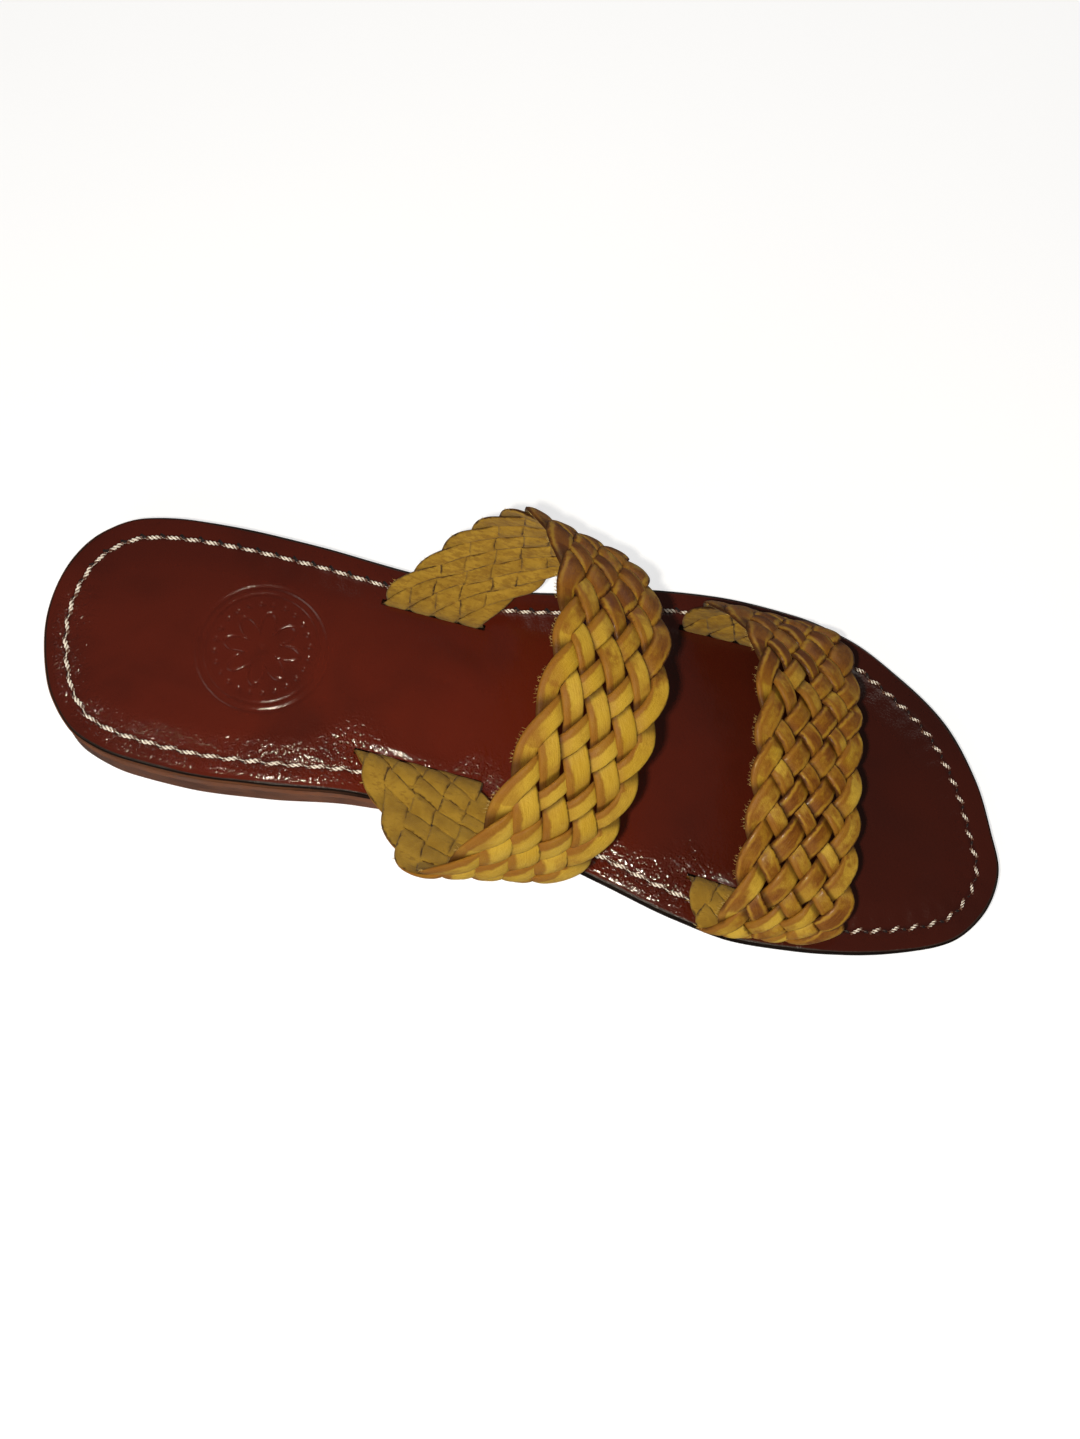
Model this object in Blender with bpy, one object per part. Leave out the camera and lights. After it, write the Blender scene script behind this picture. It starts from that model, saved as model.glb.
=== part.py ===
"""Woven leather slide sandal, left foot: a low wedge heel, a thin outsole, a footbed with four slots,
and two broad straps, each plaited flat from eight strips.

The toe points along +Y, the big-toe side faces +X, and the shoe stands on z = 0.
The origin is on the floor under the middle of the heel.
Stations along the shoe are shares of its length, counted from the heel's end.
"""

import math

import bmesh
import bpy
import numpy as np
from mathutils import Matrix, Vector

MM = 0.001

# Sole
LENGTH = 254.0 * MM
HEEL_CENTRE = 37.0 * MM  # from the heel's end forward to the origin
GAP = 0.3 * MM  # between pieces that touch
OUTSOLE_THICKNESS = 2.2 * MM
FOOTBED_THICKNESS = 2.3 * MM
OUTSOLE_INSET = 0.3 * MM
WEDGE_INSET = 0.7 * MM
WEDGE_FRONT = 0.485  # station where the wedge ends, still a blunt edge
EDGE_DROP = 0.5 * MM  # how far the footbed's top rolls down at its rim
STATIONS = 40  # rows in a layer that runs the whole length
COLUMNS = (-1.0, -0.92, -0.6, -0.2, 0.2, 0.6, 0.92, 1.0)  # shares of the half width

# station, lateral edge (mm, towards -X), medial edge (mm, towards +X)
OUTLINE = (
    (0.000, -3.5, -3.5),
    (0.008, -16.2, 9.0),
    (0.030, -25.4, 21.4),
    (0.070, -31.9, 30.4),
    (0.120, -34.2, 33.2),
    (0.180, -34.8, 33.8),
    (0.260, -34.2, 32.1),
    (0.350, -33.3, 28.8),
    (0.430, -34.3, 28.0),
    (0.520, -38.8, 31.0),
    (0.610, -45.0, 36.5),
    (0.690, -46.7, 41.6),
    (0.755, -45.8, 44.0),
    (0.813, -42.3, 43.1),
    (0.870, -34.8, 41.0),
    (0.923, -24.9, 37.4),
    (0.965, -10.2, 32.6),
    (0.990, 4.6, 24.8),
    (1.000, 14.0, 14.0),
)

# station, height of the outsole's underside over the floor (mm)
LIFT = (
    (0.00, 7.0),
    (0.24, 7.0),
    (0.31, 5.9),
    (0.38, 3.9),
    (0.45, 1.8),
    (0.51, 0.5),
    (0.57, 0.0),
    (0.82, 0.0),
    (0.90, 0.4),
    (1.00, 2.2),
)

# Straps: sections of the surface over the strips' crowns, from the lateral slot to the medial one. Each
# row is a rear and a front point: x towards the big toe, y from the heel's end, z over the footbed (mm).
# place, rear x, y, z, front x, y, z
INSTEP_SECTIONS = (
    ("lateral foot", -25.2, 83.0, -2.1, -25.2, 112.0, -2.1),
    ("lateral lip", -25.4, 83.2, 0.4, -25.4, 112.2, 0.4),
    ("lateral flare", -34.4, 91.6, 6.9, -33.6, 121.8, 7.4),
    ("lateral side", -43.0, 101.4, 15.2, -40.0, 132.2, 16.0),
    ("lateral wall", -45.2, 115.0, 31.0, -38.8, 145.6, 30.2),
    ("lateral shoulder", -29.6, 126.8, 46.8, -24.0, 156.0, 40.4),
    ("crest", -2.0, 131.4, 53.2, -3.0, 161.2, 44.2),
    ("medial shoulder", 25.0, 128.6, 47.0, 17.6, 160.0, 37.4),
    ("medial wall", 44.4, 121.2, 33.2, 33.8, 155.4, 25.6),
    ("medial side", 47.6, 108.2, 16.6, 40.6, 145.6, 14.4),
    ("medial flare", 31.4, 94.8, 6.4, 31.2, 131.2, 6.6),
    ("medial lip", 20.0, 85.8, 0.4, 20.6, 120.2, 0.4),
    ("medial foot", 19.8, 85.6, -2.1, 20.4, 120.0, -2.1),
)
TOE_SECTIONS = (
    ("lateral foot", -37.8, 161.0, -2.1, -36.8, 192.8, -2.1),
    ("lateral lip", -38.0, 161.2, 0.4, -37.0, 193.0, 0.4),
    ("lateral side", -40.6, 164.4, 10.4, -40.6, 198.8, 8.0),
    ("lateral wall", -36.0, 169.6, 22.0, -37.2, 204.2, 14.8),
    ("lateral shoulder", -25.2, 177.8, 33.8, -22.6, 209.4, 20.6),
    ("crest", -2.0, 183.2, 37.6, 2.6, 213.6, 22.8),
    ("medial shoulder", 23.0, 185.2, 30.0, 26.0, 216.4, 20.2),
    ("medial wall", 40.6, 184.8, 18.0, 39.2, 215.8, 13.2),
    ("medial side", 44.4, 181.4, 7.4, 40.6, 210.4, 6.2),
    ("medial lip", 32.4, 175.4, 0.4, 35.0, 203.8, 0.4),
    ("medial foot", 32.2, 175.3, -2.1, 34.8, 203.7, -2.1),
)

# Plait: each strap shows seven rows of crossings, so eight strips
ROWS = 7
WALL = 1.7 * MM  # a strap's own leather between the raised strips
STRIP_RISE = 1.1 * MM  # how far a strip's crown stands out of the wall
STRIP_SHOULDER = 1.0 * MM  # width of the slope at a strip's side
HOLE = 0.95 * MM  # from a gap's middle to its corners, along the strips
BRAID_HALF_WIDTH = 18.6 * MM
SCALLOP = 1.1 * MM  # how far a strip's turn stands out past the notches beside it
FOOT_LENGTH = 5.2 * MM  # smooth length at each end, in and just above its slot
FOOT_BENDS = 4  # facets that carry each end round its bend
PITCH = {"instep_strap": 13.0 * MM, "toe_strap": 11.9 * MM}
HOLE_ROWS = 5  # the middle rows of gaps, which go right through
SLOT_CLEARANCE = 0.35 * MM

# sRGB colour, roughness
MUSTARD = ((0.72, 0.50, 0.13), 0.42)
OXBLOOD = ((0.33, 0.08, 0.07), 0.18)
DARK_EDGE = ((0.10, 0.05, 0.04), 0.45)
RUSSET = ((0.50, 0.27, 0.19), 0.55)


def linear(colour):
    """An sRGB colour as the linear values that a shader takes."""
    return [c / 12.92 if c <= 0.04045 else ((c + 0.055) / 1.055) ** 2.4 for c in colour] + [1.0]


def make_material(name, finish):
    colour, roughness = finish
    material = bpy.data.materials.new(name)
    material.use_nodes = True
    shader = material.node_tree.nodes["Principled BSDF"]
    shader.inputs["Base Color"].default_value = linear(colour)
    shader.inputs["Roughness"].default_value = roughness
    shader.inputs["Metallic"].default_value = 0.0
    return material


def make_collection(name):
    collection = bpy.data.collections.new(name)
    bpy.context.scene.collection.children.link(collection)
    return collection


def make_object(name, bm, collection, material=None):
    mesh = bpy.data.meshes.new(name)
    bm.to_mesh(mesh)
    bm.free()
    piece = bpy.data.objects.new(name, mesh)
    collection.objects.link(piece)
    if material:
        mesh.materials.append(material)
    return piece


def smooth_shading(piece, angle=35.0):
    piece.data.shade_smooth()
    piece.data.set_sharp_from_angle(angle=math.radians(angle))


def smooth_curve(knots, values):
    """A cubic through the values that never swings past them between two knots."""
    knots = np.asarray(knots, float)
    values = np.asarray(values, float)
    step = np.diff(knots)
    slope = np.diff(values) / step
    tangent = np.zeros_like(values)
    tangent[0], tangent[-1] = slope[0], slope[-1]
    for i in range(1, len(knots) - 1):
        if slope[i - 1] * slope[i] > 0.0:
            before, after = 2.0 * step[i] + step[i - 1], step[i] + 2.0 * step[i - 1]
            tangent[i] = (before + after) / (before / slope[i - 1] + after / slope[i])

    def at(x):
        i = int(np.clip(np.searchsorted(knots, x, side="right") - 1, 0, len(step) - 1))
        h = step[i]
        t = min(max((x - knots[i]) / h, 0.0), 1.0)
        return float(
            (2 * t**3 - 3 * t**2 + 1) * values[i]
            + (t**3 - 2 * t**2 + t) * h * tangent[i]
            + (3 * t**2 - 2 * t**3) * values[i + 1]
            + (t**3 - t**2) * h * tangent[i + 1]
        )

    return at


def station_angle(station):
    """Stations as an angle from 0 to pi, in which a round end leaves its tip at an even slope."""
    return math.acos(1.0 - 2.0 * min(max(station, 0.0), 1.0))


lateral_edge = smooth_curve([station_angle(row[0]) for row in OUTLINE], [row[1] * MM for row in OUTLINE])
medial_edge = smooth_curve([station_angle(row[0]) for row in OUTLINE], [row[2] * MM for row in OUTLINE])
lift = smooth_curve([row[0] for row in LIFT], [row[1] * MM for row in LIFT])


def station_at(y):
    return (y + HEEL_CENTRE) / LENGTH


def footbed_top(y):
    return lift(station_at(y)) + OUTSOLE_THICKNESS + GAP + FOOTBED_THICKNESS


def sole_layer(inset, underside, topside, last_station=1.0, edge_drop=0.0):
    """A layer of the sole: a grid laid over the outline, then given its thickness.

    underside and topside give the two heights at a station, and edge_drop lowers the top at its rim.
    """
    last_angle = station_angle(last_station)
    stations = round(STATIONS * last_angle / math.pi)
    bm = bmesh.new()
    station_of = bm.verts.layers.float.new("station")
    share_of = bm.verts.layers.float.new("share")
    bmesh.ops.create_grid(bm, x_segments=len(COLUMNS) - 1, y_segments=stations, size=1.0)
    for vertex in bm.verts:
        share = COLUMNS[round((vertex.co.x + 1.0) / 2.0 * (len(COLUMNS) - 1))]
        angle = (vertex.co.y + 1.0) / 2.0 * last_angle
        station = (1.0 - math.cos(angle)) / 2.0
        lateral, medial = lateral_edge(angle), medial_edge(angle)
        half = max((medial - lateral) / 2.0 - inset, 0.0)
        y = inset + station * (LENGTH - 2.0 * inset) - HEEL_CENTRE
        vertex.co = ((lateral + medial) / 2.0 + share * half, y, underside(station))
        vertex[station_of], vertex[share_of] = station, share
    raised = bmesh.ops.extrude_face_region(bm, geom=list(bm.faces))["geom"]
    for vertex in (item for item in raised if isinstance(item, bmesh.types.BMVert)):
        at_rim = abs(vertex[share_of]) == 1.0 or vertex[station_of] in (0.0, 1.0)
        vertex.co.z = topside(vertex[station_of]) - (edge_drop if at_rim else 0.0)
    bmesh.ops.remove_doubles(bm, verts=bm.verts, dist=0.02 * MM)
    bmesh.ops.recalc_face_normals(bm, faces=bm.faces)
    return bm


class StrapForm:
    """The surface over a strap's crowns: a point for a length along it and a share across it."""

    def __init__(self, sections):
        rear = np.array([row[1:4] for row in sections]) * MM
        front = np.array([row[4:7] for row in sections]) * MM
        middle = (rear + front) / 2.0
        knots = np.concatenate([[0.0], np.cumsum(np.linalg.norm(np.diff(middle, axis=0), axis=1))])
        ends = []
        for edge in (rear, front):
            beds = [footbed_top(edge[i][1] - HEEL_CENTRE) for i in (0, -1)]
            edge[:, 1] -= HEEL_CENTRE
            edge[:, 2] += np.interp(knots, (knots[0], knots[-1]), beds)
            ends.append(through_points(knots, edge))
        self.rear, self.front = ends
        self.places = np.linspace(knots[0], knots[-1], 400)
        path = np.array([self.at_place(place, 0.0) for place in self.places])
        self.lengths = np.concatenate([[0.0], np.cumsum(np.linalg.norm(np.diff(path, axis=0), axis=1))])
        self.length = self.lengths[-1]

    def at_place(self, place, across):
        return (self.rear(place) * (1.0 - across) + self.front(place) * (1.0 + across)) / 2.0

    def point(self, along, across, height=0.0):
        """along is a length from the lateral end, across runs from -1 at the rear edge to 1 at the front."""
        place = np.interp(along, self.lengths, self.places)
        step = 0.2 * MM
        low, high = max(place - step, self.places[0]), min(place + step, self.places[-1])
        tangent = self.at_place(high, across) - self.at_place(low, across)
        normal = np.cross(tangent, self.front(place) - self.rear(place))
        normal /= np.linalg.norm(normal)
        return Vector(self.at_place(place, across) + height * normal)


def through_points(knots, points):
    """A smooth curve through points at the given knots, its tangents those of parabolas through three."""
    step = np.diff(knots)[:, None]
    slope = np.diff(points, axis=0) / step
    inner = (step[:-1] * slope[1:] + step[1:] * slope[:-1]) / (step[:-1] + step[1:])
    tangent = np.vstack([slope[:1], inner, slope[-1:]])

    def at(x):
        i = int(np.clip(np.searchsorted(knots, x, side="right") - 1, 0, len(step) - 1))
        h = step[i][0]
        t = min(max((x - knots[i]) / h, 0.0), 1.0)
        return (
            (2 * t**3 - 3 * t**2 + 1) * points[i]
            + (t**3 - 2 * t**2 + t) * h * tangent[i]
            + (3 * t**2 - 2 * t**3) * points[i + 1]
            + (t**3 - t**2) * h * tangent[i + 1]
        )

    return at


def braid_sheet(length, pitch):
    """The plait laid out flat from x = 0 to its length, with a face for each crossing.

    The faces are lozenges in rows along x. Their corners are the gaps between strips.
    """
    row = 2.0 * BRAID_HALF_WIDTH / (ROWS + 1)
    bm = bmesh.new()
    cells = 2 * (math.ceil(length / pitch / 2.0) + ROWS)
    bmesh.ops.create_grid(bm, x_segments=cells, y_segments=cells, size=cells / 2.0)
    bmesh.ops.rotate(bm, verts=bm.verts, cent=(0, 0, 0), matrix=Matrix.Rotation(math.radians(45.0), 3, "Z"))
    diagonal = math.sqrt(2.0)
    bmesh.ops.scale(bm, vec=(pitch / diagonal, row * diagonal, 1.0), verts=bm.verts)
    bmesh.ops.translate(bm, vec=(length / 2.0, 0, 0), verts=bm.verts)
    sides = [((0, side * BRAID_HALF_WIDTH, 0), (0, side, 0), True) for side in (-1, 1)]
    ends = [((0, 0, 0), (-1, 0, 0), True), ((length, 0, 0), (1, 0, 0), True)]
    bends = [FOOT_LENGTH * (i + 1) / FOOT_BENDS for i in range(FOOT_BENDS)]
    folds = [((x, 0, 0), (1, 0, 0), False) for bend in bends for x in (bend, length - bend)]
    for place, outward, trim in sides + ends + folds:
        geometry = bm.verts[:] + bm.edges[:] + bm.faces[:]
        bmesh.ops.bisect_plane(
            bm, geom=geometry, dist=0.001 * MM, plane_co=place, plane_no=outward, clear_outer=trim
        )
    return bm, row


def build_strap(name, form, collection, material):
    """A plaited strap: the flat plait is cut through at its gaps, thickened, raised and bent to its form."""
    pitch = PITCH[name]
    bm, row = braid_sheet(form.length, pitch)

    def free(x):
        """0 in the plain feet at both ends, 1 along the plaited length between them."""
        return min(max((min(x, form.length - x) - FOOT_LENGTH) / FOOT_LENGTH, 0.0), 1.0)

    turns = [e for e in bm.edges if e.is_boundary and e.calc_length() > 0.6 * pitch]
    bmesh.ops.subdivide_edges(bm, edges=turns, cuts=3)
    for vertex in bm.verts:
        if vertex.is_boundary:
            turn = abs(math.sin(math.pi * (vertex.co.x - form.length / 2.0) / pitch))
            inward = SCALLOP * (1.0 - turn) * free(vertex.co.x)
            vertex.co.y -= math.copysign(inward, vertex.co.y)

    gaps = [
        v for v in bm.verts
        if len(v.link_edges) == 4 and abs(v.co.y) < (HOLE_ROWS / 2.0) * row and free(v.co.x) == 1.0
    ]
    centres = [v.co.copy() for v in gaps]
    bmesh.ops.bevel(bm, geom=gaps, offset=HOLE, segments=1, profile=0.5, affect="VERTICES")
    holes = [
        f for f in bm.faces
        if any((f.calc_center_median() - centre).length < 0.1 * MM for centre in centres)
    ]
    bmesh.ops.delete(bm, geom=holes, context="FACES_ONLY")

    raised = bmesh.ops.extrude_face_region(bm, geom=list(bm.faces))["geom"]
    tops = [item for item in raised if isinstance(item, bmesh.types.BMFace)]
    for vertex in {v for f in tops for v in f.verts}:
        vertex.co.z = WALL
    strips = [f for f in tops if f.calc_area() > 0.3 * pitch * row and free(f.calc_center_median().x) > 0.0]
    bmesh.ops.inset_individual(bm, faces=strips, thickness=STRIP_SHOULDER, use_even_offset=True)
    for face in strips:
        for vertex in face.verts:
            vertex.co.z += STRIP_RISE * free(vertex.co.x)

    for vertex in bm.verts:
        x, y, z = vertex.co
        vertex.co = form.point(x, y / BRAID_HALF_WIDTH, z - WALL - STRIP_RISE)
    bmesh.ops.recalc_face_normals(bm, faces=bm.faces)
    strap = make_object(name, bm, collection, material)
    smooth_shading(strap)
    return strap


def cut_slot(footbed, form, at_end, cutters):
    """A slot through the footbed that clears a strap's foot all round."""
    rear, front = (form.point(at_end, side, -STRIP_RISE - WALL / 2.0) for side in (-1.0, 1.0))
    run = front - rear
    slot_length = run.xy.length + 2.0 * SLOT_CLEARANCE
    bm = bmesh.new()
    bmesh.ops.create_cube(bm, size=1.0)
    size = (slot_length, WALL + 2.0 * SLOT_CLEARANCE, 6.0 * FOOTBED_THICKNESS)
    bmesh.ops.scale(bm, vec=size, verts=bm.verts)
    cutter = make_object(f"slot_cutter_{len(cutters.objects)}", bm, cutters)
    cutter.location = (rear + front) / 2.0
    cutter.rotation_euler.z = math.atan2(run.y, run.x)
    cutter.hide_render = True
    cutter.display_type = "WIRE"
    slot = footbed.modifiers.new("slot", "BOOLEAN")
    slot.operation = "DIFFERENCE"
    slot.object = cutter


def main():
    for piece in list(bpy.data.objects):
        bpy.data.objects.remove(piece)
    sandal = make_collection("woven_sandal")
    cutters = make_collection("cutters")
    mustard = make_material("mustard_leather", MUSTARD)

    def outsole_top(station):
        return lift(station) + OUTSOLE_THICKNESS

    wedge = sole_layer(WEDGE_INSET, lambda s: 0.0, lambda s: lift(s) - GAP, last_station=WEDGE_FRONT)
    smooth_shading(make_object("heel_wedge", wedge, sandal, make_material("russet_leather", RUSSET)))

    outsole = sole_layer(OUTSOLE_INSET, lift, outsole_top)
    smooth_shading(make_object("outsole", outsole, sandal, make_material("dark_leather", DARK_EDGE)))

    layer = sole_layer(
        0.0,
        lambda s: outsole_top(s) + GAP,
        lambda s: outsole_top(s) + GAP + FOOTBED_THICKNESS,
        edge_drop=EDGE_DROP,
    )
    footbed = make_object("footbed", layer, sandal, make_material("oxblood_leather", OXBLOOD))
    smooth_shading(footbed)

    for name, sections in (("instep_strap", INSTEP_SECTIONS), ("toe_strap", TOE_SECTIONS)):
        form = StrapForm(sections)
        build_strap(name, form, sandal, mustard)
        for at_end in (0.0, form.length):
            cut_slot(footbed, form, at_end, cutters)


main()
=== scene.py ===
import math
import random

import bmesh
import bpy
import numpy as np
from mathutils import Matrix, Vector, kdtree, noise


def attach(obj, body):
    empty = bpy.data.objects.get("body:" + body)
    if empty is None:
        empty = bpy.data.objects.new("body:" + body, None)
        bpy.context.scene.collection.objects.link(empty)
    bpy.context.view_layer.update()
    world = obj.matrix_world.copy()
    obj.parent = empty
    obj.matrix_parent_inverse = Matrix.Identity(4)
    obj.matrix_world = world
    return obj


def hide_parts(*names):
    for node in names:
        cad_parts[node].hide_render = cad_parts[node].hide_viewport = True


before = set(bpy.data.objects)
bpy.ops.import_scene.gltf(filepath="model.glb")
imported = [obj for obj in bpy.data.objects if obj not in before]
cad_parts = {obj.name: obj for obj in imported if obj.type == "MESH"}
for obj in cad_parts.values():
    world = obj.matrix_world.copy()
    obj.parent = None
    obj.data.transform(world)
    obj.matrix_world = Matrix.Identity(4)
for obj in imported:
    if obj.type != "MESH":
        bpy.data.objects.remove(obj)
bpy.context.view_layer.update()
mm = 0.001


def mms(*values):  # several lengths given in millimetres
    return tuple(value * mm for value in values)


def smoothStep(x, low, high):
    share = np.clip((np.asarray(x, float) - low) / (high - low), 0.0, 1.0)
    return share * share * (3.0 - 2.0 * share)


def window(x, low, full, leaving, gone):  # rises from 0 to 1, stays and falls again
    return smoothStep(x, low, full) * (1.0 - smoothStep(x, leaving, gone))


def bump(x, centre, width):  # a soft hump, 1 at its centre
    return np.exp(-(((np.asarray(x, float) - centre) / width) ** 2))


def cubicThrough(knots, values, tangent):  # through numbers or points in space, with the given tangents
    step = np.diff(knots)

    def at(x):
        i = np.clip(np.searchsorted(knots, x, side="right") - 1, 0, len(step) - 1)
        h = step[i]
        t = np.clip((x - knots[i]) / h, 0.0, 1.0)
        if values.ndim > 1:
            h, t = h[:, None], t[:, None]
        return (
            (2 * t**3 - 3 * t**2 + 1) * values[i]
            + (t**3 - 2 * t**2 + t) * (h * tangent[i])
            + (3 * t**2 - 2 * t**3) * values[i + 1]
            + (t**3 - t**2) * (h * tangent[i + 1])
        )

    return at


def smoothCurve(knots, values):  # a cubic that never swings past its values
    knots, values = np.asarray(knots, float), np.asarray(values, float)
    step = np.diff(knots)
    slope = np.diff(values) / step
    tangent = np.zeros_like(values)
    tangent[0], tangent[-1] = slope[0], slope[-1]
    for i in range(1, len(knots) - 1):
        if slope[i - 1] * slope[i] > 0.0:
            before, after = 2.0 * step[i] + step[i - 1], step[i] + 2.0 * step[i - 1]
            tangent[i] = (before + after) / (before / slope[i - 1] + after / slope[i])
    return cubicThrough(knots, values, tangent)


def throughPoints(knots, points):  # a smooth curve in space, its tangents those of parabolas
    step = np.diff(knots)[:, None]
    slope = np.diff(points, axis=0) / step
    inner = (step[:-1] * slope[1:] + step[1:] * slope[:-1]) / (step[:-1] + step[1:])
    return cubicThrough(knots, points, np.vstack([slope[:1], inner, slope[-1:]]))


def newObject(name, data):
    made = bpy.data.objects.new(name, data)
    bpy.context.scene.collection.objects.link(made)
    return made


def finishMesh(name, bm, materials, sharpAngle=None):
    mesh = bpy.data.meshes.new(name)
    bm.to_mesh(mesh)
    bm.free()
    for material in materials:
        mesh.materials.append(material)
    mesh.shade_smooth()
    if sharpAngle:
        mesh.set_sharp_from_angle(angle=math.radians(sharpAngle))
    return newObject(name, mesh)


def giveAttributes(piece, **fields):
    for name, values in fields.items():
        attribute = piece.data.attributes.new(name, "FLOAT", "POINT")
        attribute.data.foreach_set("value", np.asarray(values, np.float32))


def verticesOf(geometry):
    return [item for item in geometry if isinstance(item, bmesh.types.BMVert)]


def newLayers(bm, *names):
    return [bm.verts.layers.float.new(name) for name in names]


def readLayers(bm, layers):
    return (np.array([vertex[layer] for vertex in bm.verts]) for layer in layers)


def linear(colour):  # a colour as the eye names it, as the values that a shader takes
    return [c / 12.92 if c <= 0.04045 else ((c + 0.055) / 1.055) ** 2.4 for c in colour] + [1.0]


def feed(node, inputs):  # links what comes from another node, and sets the rest
    for name, value in inputs.items():
        socket = node.inputs[name]
        if isinstance(value, bpy.types.NodeSocket):
            node.id_data.links.new(value, socket)
        else:
            socket.default_value = value


def addNode(tree, kind, inputs=None, **settings):
    made = tree.nodes.new(kind)
    for name, value in settings.items():
        setattr(made, name, value)
    feed(made, inputs or {})
    return made


def mathNode(tree, operation, first, second=0.0, third=0.0, clamp=False):
    inputs = {0: first, 1: second, 2: third}
    return addNode(tree, "ShaderNodeMath", inputs, operation=operation, use_clamp=clamp).outputs[0]


def times(tree, first, second):
    return mathNode(tree, "MULTIPLY", first, second)


def scaleAdd(tree, value, scale, rest):
    return mathNode(tree, "MULTIPLY_ADD", value, scale, rest)


def mixColour(tree, share, first, second):
    inputs = {0: share}
    for place, colour in ((6, first), (7, second)):
        inputs[place] = linear(colour) if isinstance(colour, tuple) else colour
    return addNode(tree, "ShaderNodeMix", inputs, data_type="RGBA").outputs[2]


def layered(tree, look, first, layers):  # lays the look's colours one over the other, each by its own share
    colour = look[first]
    for share, over in layers:
        colour = mixColour(tree, share, colour, look[over])
    return colour


def rangeNode(tree, value, low, high, outLow=0.0, outHigh=1.0):
    inputs = {"Value": value, "From Min": low, "From Max": high, "To Min": outLow, "To Max": outHigh}
    return addNode(tree, "ShaderNodeMapRange", inputs, interpolation_type="SMOOTHSTEP").outputs["Result"]


def objectPoint(tree, stretch=(1.0, 1.0, 1.0)):
    place = addNode(tree, "ShaderNodeTexCoord").outputs["Object"]
    return addNode(tree, "ShaderNodeMapping", {"Vector": place, "Scale": stretch}).outputs["Vector"]


def noiseNode(tree, vector, scale, detail=3.0, roughness=0.5, distortion=0.0):
    inputs = {"Vector": vector, "Scale": scale, "Detail": detail, "Roughness": roughness}
    inputs["Distortion"] = distortion
    return addNode(tree, "ShaderNodeTexNoise", inputs).outputs["Fac"]


def bumpNode(tree, height, strength, distance):
    inputs = {"Height": height, "Strength": strength, "Distance": distance}
    return addNode(tree, "ShaderNodeBump", inputs).outputs["Normal"]


def attributeNode(tree, name):
    return addNode(tree, "ShaderNodeAttribute", attribute_name=name).outputs["Fac"]


def newGroup(name, inputs, outputs):
    group = bpy.data.node_groups.new(name, "ShaderNodeTree")
    for label, value in inputs.items():
        socket = group.interface.new_socket(label, in_out="INPUT", socket_type="NodeSocketFloat")
        socket.default_value = value
    for label in outputs:
        group.interface.new_socket(label, in_out="OUTPUT", socket_type="NodeSocketFloat")
    return group, group.nodes.new("NodeGroupInput").outputs, group.nodes.new("NodeGroupOutput")


def useGroup(tree, group, inputs):
    return addNode(tree, "ShaderNodeGroup", inputs, node_tree=group).outputs


def newMaterial(name, **fixed):
    material = bpy.data.materials.new(name)
    material.use_nodes = True
    shader = material.node_tree.nodes["Principled BSDF"]
    feed(shader, {label.replace("_", " "): value for label, value in fixed.items()})
    return material, material.node_tree, shader


def makeHideGroup():  # pores and creases of a tanned hide, with patches of tone
    hideInputs = {"Pore Scale": 2000.0, "Crease Scale": 180.0, "Crease Share": 0.4, "Patch Scale": 30.0}
    group, given, wanted = newGroup("hideGrain", hideInputs, ("Height", "Patches"))
    point = objectPoint(group)
    pores = addNode(
        group, "ShaderNodeTexVoronoi",
        {"Vector": point, "Scale": given["Pore Scale"], "Smoothness": 0.35}, feature="SMOOTH_F1",
    ).outputs["Distance"]
    fine = noiseNode(group, point, given["Pore Scale"], 4.0, 0.65)
    crease = noiseNode(group, point, given["Crease Scale"], 5.0, 0.6, 0.6)
    ridge = mathNode(group, "ABSOLUTE", mathNode(group, "SUBTRACT", crease, 0.5))
    creaseHeight = times(group, ridge, times(group, given["Crease Share"], 8.0))
    feed(wanted, {
        "Height": mathNode(group, "SUBTRACT", scaleAdd(group, pores, 0.6, fine), creaseHeight),
        "Patches": noiseNode(group, point, given["Patch Scale"], 3.0, 0.6, 0.4),
    })
    return group


def makeNapGroup():  # short fibres of a split or a cut edge
    napInputs = {"Fibre Scale": 3500.0, "Blotch Scale": 160.0}
    group, given, wanted = newGroup("nap", napInputs, ("Height", "Blotches"))
    point = objectPoint(group)
    fibres = noiseNode(group, point, given["Fibre Scale"], 5.0, 0.75, 0.8)
    blotches = noiseNode(group, point, given["Blotch Scale"], 4.0, 0.65, 0.3)
    feed(wanted, {"Height": scaleAdd(group, blotches, 0.6, fibres), "Blotches": blotches})
    return group


hideGrain = makeHideGroup()
nap = makeNapGroup()


oxbloodLook = {
    "heel": (0.33, 0.105, 0.062), "waist": (0.37, 0.115, 0.058), "toe": (0.235, 0.075, 0.043),
    "deepToneAndShade": (0.16, 0.045, 0.03), "rim": (0.075, 0.045, 0.03),
    "roughness": 0.11, "grainShare": 0.11, "depth": 0.36 * mm,
}


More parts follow.
